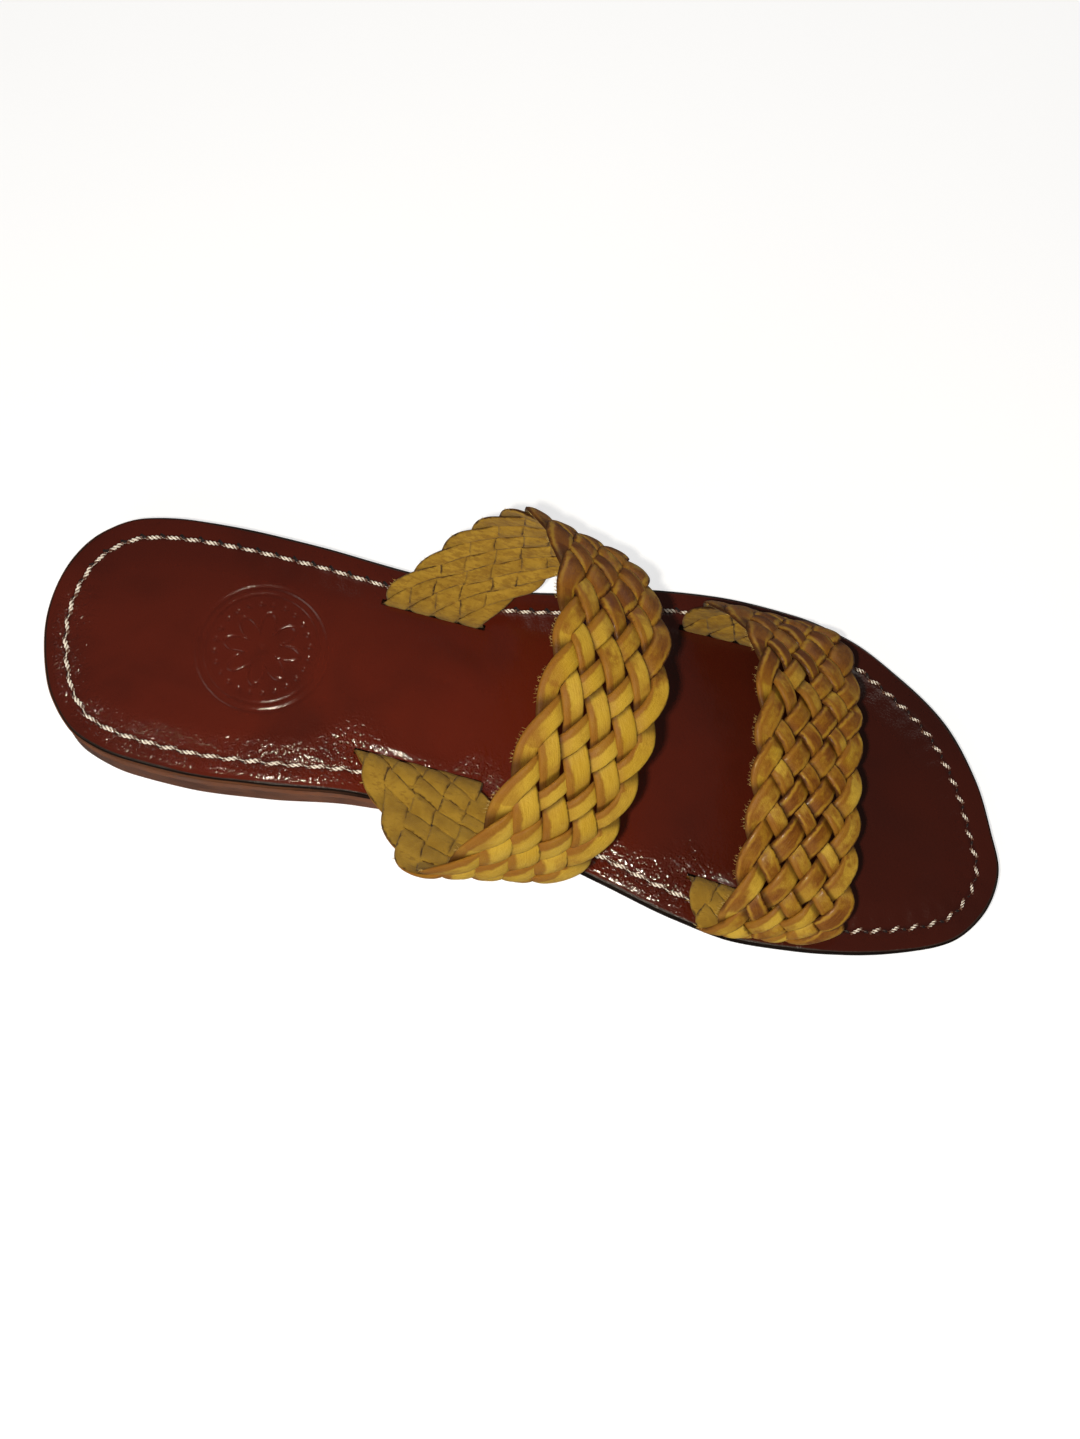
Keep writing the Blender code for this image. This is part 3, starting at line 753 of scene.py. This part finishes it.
def slotRelief(x, y):
    # How near a slot is, from 0 to 1, and the height of the leather that the strap's end lifts beside it.
    near, rise = 0.0, 0.0
    for ends in slots:
        rear, run = ends[0][:2], (ends[1] - ends[0])[:2]
        length = np.linalg.norm(run)
        run = run / length
        inward = np.array([-run[1], run[0]])
        if inward[0] * rear[0] > 0.0:
            inward = -inward
        offset = np.array([x, y]) - rear
        u, v = offset @ run, offset @ inward
        past, outwards, inwards = footbed["slotField"]
        if not (-past < u < length + past and outwards < v < inwards):
            continue
        along = window(u, -footbed["slotEase"], 0.0, length, length + footbed["slotEase"])
        near = max(near, along * (1.0 - smoothStep(abs(v), *footbed["slotReach"])))
        hump = window(v, *footbed["lip"]) * (1.0 - 0.8 * smoothStep(u, 0.3 * length, 0.75 * length))
        ease, full = footbed["dipEase"]
        dip = bump(v, 0.0, footbed["dipWidth"]) * window(u, -ease, full, length - full, length + ease)
        rise += footbed["lipHeight"][int(rear[0] > 0.0)] * along * hump - footbed["lipDip"] * dip
    return near, rise


def stampRelief(x, y):  # plain blind stamp on the heel seat: two rings, a ring of dots and a rosette
    dx, dy = x - footbed["stampPlace"][0], y - footbed["stampPlace"][1]
    radius, turn = math.hypot(dx, dy), math.atan2(dy, dx)
    outer, gap = footbed["stampRadius"], footbed["stampGap"]
    if radius > outer + gap:
        return 0.0
    outerLine, innerLine, petalLine, middle, dot = footbed["stampLines"]
    line = max(bump(radius, outer, outerLine), 0.7 * bump(radius, outer - gap, innerLine))
    petal = (0.24 + 0.34 * abs(math.cos(4.0 * turn)) ** 0.8) * outer
    line = max(line, 0.85 * bump(radius, petal, petalLine), bump(radius, 0.0, middle))
    dots, dotRing = footbed["stampDots"], 0.72 * outer
    dotTurn = round(turn / (2.0 * math.pi) * dots) / dots * 2.0 * math.pi
    dotGap = math.hypot(dx - dotRing * math.cos(dotTurn), dy - dotRing * math.sin(dotTurn))
    return -footbed["stampDepth"] * max(line, bump(dotGap, 0.0, dot))


def bedRelief(x, y):  # how far the top of the footbed stands over its plain height

    def hollow(atX, atY, reach, depth):
        return -depth * bump(math.hypot(x - atX, y - atY), 0.0, reach)

    d, phase = rimPlace(x, y)
    seamAt = stitch["seam"]
    roll = -footbed["roll"] * max(1.0 - d / footbed["rollWidth"], 0.0) ** 2
    seam = -footbed["seamDepth"] * bump(d, seamAt, footbed["seamWidth"])
    beside = sum(share * bump(d, seamAt + inward, width) for inward, width, share in footbed["puckerRows"])
    pucker = footbed["pucker"] * math.cos(2.0 * math.pi * (phase - footbed["puckerPhase"])) * beside
    welt = footbed["welt"] * math.sin(math.pi * min(d / seamAt, 1.0))
    pillow = footbed["pillow"] * smoothStep(d, seamAt - 0.5 * mm, seamAt + footbed["pillowReach"])
    waves = noise.noise(Vector((x, y, 0.0)) * 95.0) + 0.6 * noise.noise(Vector((x, y, 3.0)) * 240.0)
    ripple = footbed["ripple"] * waves * min(d / footbed["rippleEase"], 1.0)
    near, rise = slotRelief(x, y)
    shape = roll + seam + pucker + welt + hollow(*footbed["heelSeat"]) + hollow(*footbed["ball"])
    shape += ripple + hollow(*footbed["sizeDent"])
    return shape + pillow * (1.0 - near) + rise + stampRelief(x, y)


def cutSlot(bm, ends):  # opens a slot through the footbed, and closes its walls
    middle, run = Vector((ends[0] + ends[1]) / 2.0), Vector(ends[1] - ends[0])
    run.z = 0.0
    half = (run.length / 2.0 + footbed["slotClearance"], footbed["slotWidth"] / 2.0)
    run.normalize()
    axes = (run, Vector((-run.y, run.x, 0.0)))

    def facesWithin(slack):
        return [
            face for face in bm.faces
            if all(abs((face.calc_center_median() - middle).dot(axes[i])) < half[i] + slack for i in (0, 1))
        ]

    for axis, size in zip(axes, half):
        for side in (-1.0, 1.0):
            region = facesWithin(3.0 * mm)
            around = [item for face in region for item in (*face.edges, *face.verts)]
            bmesh.ops.bisect_plane(
                bm, geom=region + list(dict.fromkeys(around)), dist=0.01 * mm,  # each once, in a fixed order
                plane_co=middle + side * size * axis, plane_no=axis,
            )
    bmesh.ops.delete(bm, geom=facesWithin(0.0), context="FACES")
    for face in bmesh.ops.bridge_loops(bm, edges=[edge for edge in bm.edges if edge.is_boundary])["faces"]:
        face.material_index = 1


def buildFootbed():
    under = sole["outsoleThickness"] + sole["gap"]
    top = under + sole["footbedThickness"]
    bm, levelOf = soleMesh(footbed, lambda s: soleLift(s) + under, lambda s: soleLift(s) + top)
    for ends in slots:
        cutSlot(bm, ends)
    bmesh.ops.recalc_face_normals(bm, faces=bm.faces)
    stampX, stampY = footbed["stampPlace"]
    reach = footbed["stampRadius"] + footbed["stampGap"]
    stamped = [
        e for e in bm.edges
        if all(v[levelOf] > 0.99 and math.hypot(v.co.x - stampX, v.co.y - stampY) < reach for v in e.verts)
    ]
    bmesh.ops.subdivide_edges(bm, edges=stamped, cuts=2, use_grid_fill=True)
    for vertex in bm.verts:
        if vertex[levelOf] > 0.4:
            vertex.co.z += bedRelief(vertex.co.x, vertex.co.y)
    piece = finishMesh("footbedHide", bm, [oxblood, darkEdge, suede], sharpAngle=42.0)
    x, y = np.array([v.co[:2] for v in piece.data.vertices]).T
    distances = np.array([rimPlace(v.co.x, v.co.y)[0] for v in piece.data.vertices])
    heelward = 1.0 + 0.35 * (1.0 - smoothStep(y, *footbed["pulledHeel"]))
    pulled = window(distances, *footbed["pulledBand"]) * heelward
    pulled *= smoothStep(x, *footbed["pulledSide"]) * (1.0 - smoothStep(y, *footbed["pulledToe"]))
    for end in np.vstack(slots):
        if end[0] > 0.0:
            away = np.hypot(x - end[0], y - end[1])
            pulled = np.maximum(pulled, 1.6 * bump(away, 0.0, footbed["pulledSlot"]))
    rim = np.clip(1.0 - distances / footbed["rimWidth"], 0.0, 1.0)
    groove = bump(distances, stitch["seam"], footbed["seamWidth"])
    giveAttributes(piece, groove=groove, rim=rim, pulled=pulled)
    return piece


footbedPiece = buildFootbed()
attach(footbedPiece, "root")
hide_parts("footbed")
print("footbed made")


outsole = {"rows": 150, "middle": 14, "inset": 0.3 * mm, "round": 0.3 * mm, "rimSteps": (0.0, 1.0, 3.0, 7.0)}
wedge = {"rows": 100, "middle": 14, "inset": 0.3 * mm, "round": 0.25 * mm, "rimSteps": (0.0, 1.0, 3.0, 7.0),
         "lastStation": 0.485, "flare": 1.3 * mm, "flareSide": mms(2, 16), "flareRear": mms(-34, -5)}


def buildOutsole():
    bm, _ = soleMesh(outsole, soleLift, lambda s: soleLift(s) + sole["outsoleThickness"])
    return finishMesh("outsoleLeather", bm, [soleEdge, soleEdge, soleEdge], sharpAngle=50.0)


def buildWedge():  # stands out a little on the medial side, towards the floor
    bm, levelOf = soleMesh(wedge, lambda s: np.zeros_like(s), lambda s: soleLift(s) - sole["gap"])
    for vertex in bm.verts:
        medial = smoothStep(vertex.co.x, *wedge["flareSide"]) * smoothStep(vertex.co.y, *wedge["flareRear"])
        vertex.co.x += wedge["flare"] * medial * (1.0 - 0.7 * vertex[levelOf])
    return finishMesh("heelWedgeStack", bm, [russet, russet, darkEdge], sharpAngle=50.0)


outsolePiece = buildOutsole()
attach(outsolePiece, "root")
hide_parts("outsole")
wedgePiece = buildWedge()
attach(wedgePiece, "root")
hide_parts("heel_wedge")
print("outsole and wedge made")


def softTurn(x):  # |x| with a round bottom, exact again two pitches away
    round2 = plait["turnRound"] ** 2
    return np.sqrt(x**2 + round2) - (math.sqrt(4.0 + round2) - 2.0) * (x / 2.0) ** 2


def stripRow(phase):  # which row a strip's middle is on, out and back in eight pitches
    x = (phase % 8.0) - 4.0
    return np.where(np.abs(x) < 2.0, 4.0 - 2.0 * softTurn(x), 2.0 * softTurn(4.0 - np.abs(x)) - 4.0)


def stripLevel(phase):  # 1 over the other strips, -1 under them
    phase = phase % 8.0
    weave = np.cos(2.0 * np.pi * phase)
    weave = np.where(phase > 4.0, -weave, weave)
    weave = np.sign(weave) * np.abs(weave) ** plait["plateau"]
    frontTurn = -np.cos(np.pi * (phase - 3.5))
    rearTurn = np.cos(np.pi * (phase - 7.5))
    level = np.where((phase > 3.5) & (phase < 4.5), frontTurn, weave)
    level = np.where(phase < 0.5, -np.sin(np.pi * phase), level)
    return np.where(phase > 7.5, rearTurn, level)


def stripPhase(strap, along):  # pitches from the strap's middle, and the pitch there
    length = strap["form"][0]
    at = np.linspace(0.0, length, 800)
    away = at - length / 2.0 - 2.0 * mm
    near = smoothStep(-away, *strap["lateralReach"]) + smoothStep(away, *strap["medialReach"])
    pitch = strap["pitch"] * (1.0 + strap["spread"] * near)
    phase = np.concatenate([[0.0], np.cumsum(2.0 * np.diff(at) / (pitch[1:] + pitch[:-1]))])
    phase -= np.interp(length / 2.0 + strap["shift"], at, phase)
    return np.interp(along, at, phase), np.interp(along, at, pitch)


def segmentValues(phase, strip, seed):  # one random value for each stretch of a strip that shows
    chance = random.Random(seed)
    peaks = [8.0 * turn + place for turn in range(-2, 4) for place in (1.0, 2.0, 3.0, 4.5, 5.5, 6.5, 7.5)]
    knots = [peak + side for peak in peaks for side in (-0.28, 0.28)]
    found = np.zeros_like(phase)
    for number in range(plait["strips"]):
        values = np.repeat([chance.uniform(-1.0, 1.0) for _ in peaks], 2)
        mine = strip == number
        found[mine] = np.interp(phase[mine], knots, values)
    return found


def segmentRun(phase):  # place along the stretch that shows, -0.5 to 0.5, 0 where the strip is on top
    phase = phase % 8.0
    phase = np.where(phase > 4.0, phase - 0.5, phase)
    return phase - np.round(phase)


def buildStrap(name, strap):
    length, point = strap["form"]
    strips, half = plait["strips"], plait["halfWidth"]
    row = 2.0 * half / (plait["rows"] + 1)
    samples = round(length / strap["pitch"] * plait["alongPerPitch"])
    bm = bmesh.new()
    layers = alongOf, acrossOf, numberOf, topOf = newLayers(bm, "along", "across", "number", "top")
    for number in range(strips):
        grid = bmesh.ops.create_grid(bm, x_segments=samples, y_segments=plait["acrossSegments"], size=1.0)
        for vertex in grid["verts"]:
            vertex[alongOf] = (vertex.co.x + 1.0) / 2.0 * length
            vertex[acrossOf] = math.copysign(abs(vertex.co.y) ** plait["crowding"], vertex.co.y)
            vertex[numberOf] = number
    for vertex in verticesOf(bmesh.ops.extrude_face_region(bm, geom=list(bm.faces))["geom"]):
        vertex[topOf] = 1.0
    for face in bm.faces:  # 0 the grain side and the cut edges, 1 the suede back
        face.material_index = int(max(vertex[topOf] for vertex in face.verts) < 0.5)

    along, across, number, top = readLayers(bm, layers)
    strip = number.round().astype(int)
    turns, pitch = stripPhase(strap, along)
    phase = turns + 0.5 + number
    sway, swell, lean, tone, bounce = (segmentValues(phase, strip, strap["seed"] + i) for i in range(5))
    free = smoothStep(np.minimum(along, length - along), *plait["slotReach"])
    loose = window(along, *strap["loose"])
    unskews = [length - distance for distance in plait["unskews"]]
    skew = strap["skew"] * window(along, *strap["skews"], *unskews)

    small = 0.01
    slope = (stripRow(phase + small) - stripRow(phase - small)) * row / (2.0 * small * pitch)
    fullSlope = 2.0 * row / pitch
    steep = np.clip(slope / fullSlope, -1.0, 1.0)
    spacing = pitch * fullSlope / np.hypot(1.0 + skew * fullSlope * steep, fullSlope)
    level = stripLevel(phase)
    width = strap["looseWidth"] * loose + plait["tightShare"] * spacing * (1.0 - loose)
    overWider = (0.08 - 0.04 * loose) * level * free  # a strip spreads where it lies on top
    width = width * (1.0 + plait["swell"] * swell * (0.5 + 0.5 * loose) + overWider)
    offset = across * width / 2.0
    ahead = 1.0 + skew * slope
    scale = np.hypot(ahead, slope)
    alongShift, acrossShift = -slope / scale * offset, ahead / scale * offset
    phase = phase + ((alongShift - skew * acrossShift) / pitch + steep * acrossShift / (2.0 * row)) / 2.0
    level = stripLevel(phase)

    thickness = plait["slotThickness"] + (plait["thickness"] - plait["slotThickness"]) * free
    thickness = thickness * (1.0 + plait["thicken"] * swell)
    deepest = plait["rise"] + plait["wall"]
    middle = -(plait["rise"] + plait["wall"] / 2.0) * (1.0 - free) - deepest / 2.0 * free
    middle = middle + plait["bounce"] * bounce * free
    backLift = plait["lift"] * loose + plait["tightLift"] * (1.0 - loose)
    lift = plait["slotLift"] * (1.0 - free) + np.where(top > 0.5, plait["lift"], backLift) * free
    drop = 0.5 * loose * np.abs(across) ** 8 + 0.95 * (1.0 - loose) * np.abs(across) ** 3
    dome = thickness / 2.0 * (1.0 - drop - 0.2 * smoothStep(-across, 0.5, 1.0) * loose)
    flat = -thickness / 2.0 * (1.0 - 0.55 * np.abs(across) ** 7)
    height = middle + lift * level + np.where(top > 0.5, dome, flat) + plait["tilt"] * lean * offset * free
    centre = stripRow(turns + 0.5 + number) * row * (0.96 + 0.04 * loose)
    flatX = np.clip(along + skew * centre + alongShift, 0.0, length)
    flatY = centre + acrossShift + plait["sway"] * sway * (0.6 * free + 0.4 * loose)
    places = point(flatX, flatY / half, height)
    for vertex, place in zip(bm.verts, places):
        vertex.co = place
    bmesh.ops.recalc_face_normals(bm, faces=bm.faces)
    piece = finishMesh(name, bm, [stripLeather, suede])
    first, second, third = strap["stain"]
    stain = first + (second - first) * smoothStep(along, *strap["stains"][:2])
    stain = stain + (third - second) * smoothStep(along, *strap["stains"][2:])
    atEdge = smoothStep(np.abs(centre) / row, 3.0, 3.6)
    giveAttributes(
        piece, dive=level * (1.0 - atEdge) + 0.3 * atEdge, tone=0.5 + 0.5 * tone, run=segmentRun(phase),
        stain=stain, fibre=4.0 * phase + 13.0 * number,
        wear=strap["wear"] * (1.0 - smoothStep(along, 0.4 * length, 0.6 * length)),
    )
    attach(piece, "root")
    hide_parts(strap["node"])
    print(name, "made,", len(piece.data.polygons), "faces")

    edge = (across < -0.99) & (centre < -3.2 * row) & (free > 0.99) & (top < 0.5)
    outward = point(flatX[edge], flatY[edge] / half - 0.03, height[edge]) - places[edge]
    return places[edge], outward / np.linalg.norm(outward, axis=1)[:, None]


frayedEdges = [buildStrap("instepPlait", straps["instep"]), buildStrap("toePlait", straps["toe"])]

fuzz = {"hairs": (330, 270), "length": mms(0.4, 1.2), "radius": mms(0.03, 0.06), "seed": 31}


def buildFuzz():  # short fibres along the rear edges of the straps
    chance = random.Random(fuzz["seed"])
    bm = bmesh.new()
    for (places, outward), hairs in zip(frayedEdges, fuzz["hairs"]):
        for _ in range(hairs):
            chosen = chance.randrange(len(places))
            aim = Vector(outward[chosen]) + 0.7 * Vector([chance.uniform(-1.0, 1.0) for _ in range(3)])
            turn = aim.to_track_quat("Z", "Y").to_matrix().to_4x4()
            reach, radius = chance.uniform(*fuzz["length"]), chance.uniform(*fuzz["radius"])
            place = Matrix.Translation(places[chosen]) @ turn @ Matrix.Translation((0.0, 0.0, 0.4 * reach))
            bmesh.ops.create_cone(
                bm, cap_ends=True, segments=3, radius1=radius, radius2=0.2 * radius,
                depth=reach, matrix=place,
            )
    piece = finishMesh("strapFuzz", bm, [looseFibre])
    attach(piece, "root")
    print("fuzz made")


buildFuzz()


def seamPath():  # places and headings of the stitches, and of the holes between them
    wanted = np.arange(stitchCount * 2) / 2.0
    turn = np.unwrap(np.arctan2(rimHeading[:, 1], rimHeading[:, 0]))
    return zip(*(np.interp(wanted, seamPhase, values) for values in (*seamLine.T, turn)))


def stitchMesh():  # two plies twisted about the stitch's line, with its ends going down
    bm = bmesh.new()
    for start in (0.0, math.pi):
        place = Matrix.Translation((-stitch["length"] / 2.0, 0.0, stitch["plyOffset"]))
        circle = bmesh.ops.create_circle(
            bm, segments=stitch["sides"], radius=stitch["plyRadius"],
            matrix=Matrix.Rotation(start, 4, "X") @ place @ Matrix.Rotation(math.pi / 2.0, 4, "Y"),
        )["verts"]
        edges = list(dict.fromkeys(e for v in circle for e in v.link_edges))
        bmesh.ops.spin(
            bm, geom=circle + edges, cent=(0, 0, 0), axis=(1, 0, 0), angle=stitch["turns"] * 2.0 * math.pi,
            dvec=(stitch["length"] / stitch["steps"], 0, 0), steps=stitch["steps"],
        )
    bmesh.ops.holes_fill(bm, edges=[e for e in bm.edges if e.is_boundary], sides=stitch["sides"])
    creaseOf = bm.verts.layers.float.new("crease")
    for vertex in bm.verts:  # slimmer towards the ends, which go down
        share = min(abs(vertex.co.x) / (stitch["length"] / 2.0), 1.1)
        radius = math.hypot(vertex.co.y, vertex.co.z) - stitch["plyOffset"]
        # the crease value marks the hollow between the plies, darkened there as painted shade
        vertex[creaseOf] = 1.0 - smoothStep(radius, 0.0, 0.75 * stitch["plyRadius"])
        slim = 1.0 - 0.5 * share**4
        vertex.co.y *= slim
        vertex.co.z = vertex.co.z * slim - stitch["sink"] * share**6
    bmesh.ops.recalc_face_normals(bm, faces=bm.faces)
    return bm


def surfaceMatrix(x, y, turn, lift):  # sets a shape on the footbed, along the seam
    step = 0.6 * mm
    nextX, nextY = x + step * math.cos(turn), y + step * math.sin(turn)
    z, nextZ = (bedHeight(atY) + bedRelief(atX, atY) for atX, atY in ((x, y), (nextX, nextY)))
    place = Matrix.Translation((x, y, z + lift))
    return place @ Matrix.Rotation(turn, 4, "Z") @ Matrix.Rotation(-math.atan2(nextZ - z, step), 4, "Y")


def buildStitches():
    template = stitchMesh()
    stitchData = bpy.data.meshes.new("stitch")
    template.to_mesh(stitchData)
    template.free()
    chance = random.Random(stitch["seed"])
    threadMesh, holeMesh = bmesh.new(), bmesh.new()
    newLayers(threadMesh, "crease")
    for number, (x, y, turn) in enumerate(seamPath()):
        toeward = smoothStep(y, *stitch["toeward"])
        lateral = smoothStep(-x, *stitch["lateralReach"]) * (1.0 - toeward)
        pitch = stitchPitch(x, y)
        if number % 2 == 0:
            slant = stitch["slant"] + stitch["toeSlant"] * toeward + stitch["lateralSlant"] * lateral
            slant = math.radians(slant + chance.uniform(-4.0, 4.0))
            size = min(pitch / stitch["medialPitch"] + 0.05, 1.0) * chance.uniform(0.94, 1.05)
            size *= 1.0 - 0.24 * toeward
            thin = (1.0 - 0.22 * toeward) * (1.0 - 0.06 * lateral)
            stretch = Matrix.Diagonal((size, thin * chance.uniform(0.9, 1.1), thin, 1.0))
            placed = stitchData.copy()
            placed.transform(surfaceMatrix(x, y, turn + slant, stitch["lift"]) @ stretch)
            threadMesh.from_mesh(placed)
            bpy.data.meshes.remove(placed)
            continue
        linkRadius = stitch["link"] * (1.0 - 0.6 * toeward) * (1.0 - 0.3 * lateral)
        link = surfaceMatrix(x, y, turn - math.radians(stitch["linkSlant"]), 0.0)
        bmesh.ops.create_cone(
            threadMesh, cap_ends=True, segments=5, radius1=linkRadius, radius2=linkRadius,
            depth=pitch - 0.55 * stitch["length"], matrix=link @ Matrix.Rotation(math.pi / 2.0, 4, "Y"),
        )
        # a dark disc at each awl hole: painted shade inside the hole
        outward = (0.15 + 0.4 * lateral) * mm
        holeX, holeY = x + outward * math.sin(turn), y - outward * math.cos(turn)
        place = surfaceMatrix(holeX, holeY, turn - math.radians(stitch["holeSlant"]), stitch["holeLift"])
        radius = stitch["hole"] * (1.0 + 0.55 * lateral) * chance.uniform(0.85, 1.15)
        depth = stitch["holeDepth"]
        sunk = Matrix.Diagonal((1.7, 1.0, 1.0, 1.0)) @ Matrix.Translation((0.0, 0.0, -depth / 2.0))
        bmesh.ops.create_cone(
            holeMesh, cap_ends=True, segments=9, radius1=0.7 * radius, radius2=radius, depth=depth,
            matrix=place @ sunk,
        )
    bpy.data.meshes.remove(stitchData)
    bmesh.ops.recalc_face_normals(threadMesh, faces=threadMesh.faces)
    seam = finishMesh("saddleStitch", threadMesh, [thread])
    holes = finishMesh("stitchHoleShade", holeMesh, [holeDark])
    phases = np.array([rimPlace(v.co.x, v.co.y)[1] for v in seam.data.vertices])
    toeward = smoothStep([v.co.y for v in seam.data.vertices], *stitch["toeward"])
    giveAttributes(seam, ends=np.abs(phases - np.round(phases)) * (2.1 + 0.7 * toeward) + 0.14 * toeward)
    for piece in (seam, holes):
        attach(piece, "root")
    print("stitches made:", stitchCount)


buildStitches()


studio = {
    "camera": mms(147.3, 108.2, 471.7), "lens": 47.0,
    "right": (-0.2152, 0.9765, 0.0145), "aim": mms(0.0, 94.0, 12.0),
    "floor": 2.5, "target": (0.0, 0.09, 0.02), "room": 0.1, "roomSeen": 0.8,
    "lamps": (  # name, place, size, energy, colour
        ("keyLight", (0.168, 0.08, 0.468), 0.02, 1.95, (1.0, 0.94, 0.84)),
        ("medialFill", (1.3, -0.3, 0.7), 1.0, 5.0, (1.0, 1.0, 1.0)),
        ("lateralFill", (-1.3, 0.4, 0.7), 1.0, 3.5, (1.0, 1.0, 1.0)),
    ),
}


def buildStudio():
    bm = bmesh.new()
    bmesh.ops.create_grid(bm, x_segments=2, y_segments=2, size=studio["floor"])
    floor = finishMesh("floor", bm, [makeFloorPaint(floorLook)])
    floor.visible_glossy = False

    for name, place, size, energy, colour in studio["lamps"]:
        data = bpy.data.lights.new(name, "AREA")
        data.shape = "DISK"
        data.size = size
        data.energy = energy
        data.color = colour
        lamp = newObject(name, data)
        lamp.location = place
        lamp.rotation_euler = (Vector(studio["target"]) - Vector(place)).to_track_quat("-Z", "Y").to_euler()

    world = bpy.data.worlds.new("softRoom")  # pale to look at, dim as a light
    bpy.context.scene.world = world
    world.use_nodes = True
    rays = addNode(world.node_tree, "ShaderNodeLightPath").outputs["Is Camera Ray"]
    strength = scaleAdd(world.node_tree, rays, studio["roomSeen"], studio["room"])
    feed(world.node_tree.nodes["Background"], {"Color": (1.0, 1.0, 1.0, 1.0), "Strength": strength})

    data = bpy.data.cameras.new("camera")
    data.lens = studio["lens"]
    camera = newObject("camera", data)
    place = Vector(studio["camera"])
    forward = (Vector(studio["aim"]) - place).normalized()
    right = Vector(studio["right"])
    right = (right - forward * right.dot(forward)).normalized()
    up = right.cross(forward)
    camera.matrix_world = Matrix.Translation(place) @ Matrix((right, up, -forward)).transposed().to_4x4()
    bpy.context.scene.camera = camera
    bpy.context.scene.view_settings.view_transform = "Standard"


buildStudio()
print("studio made")
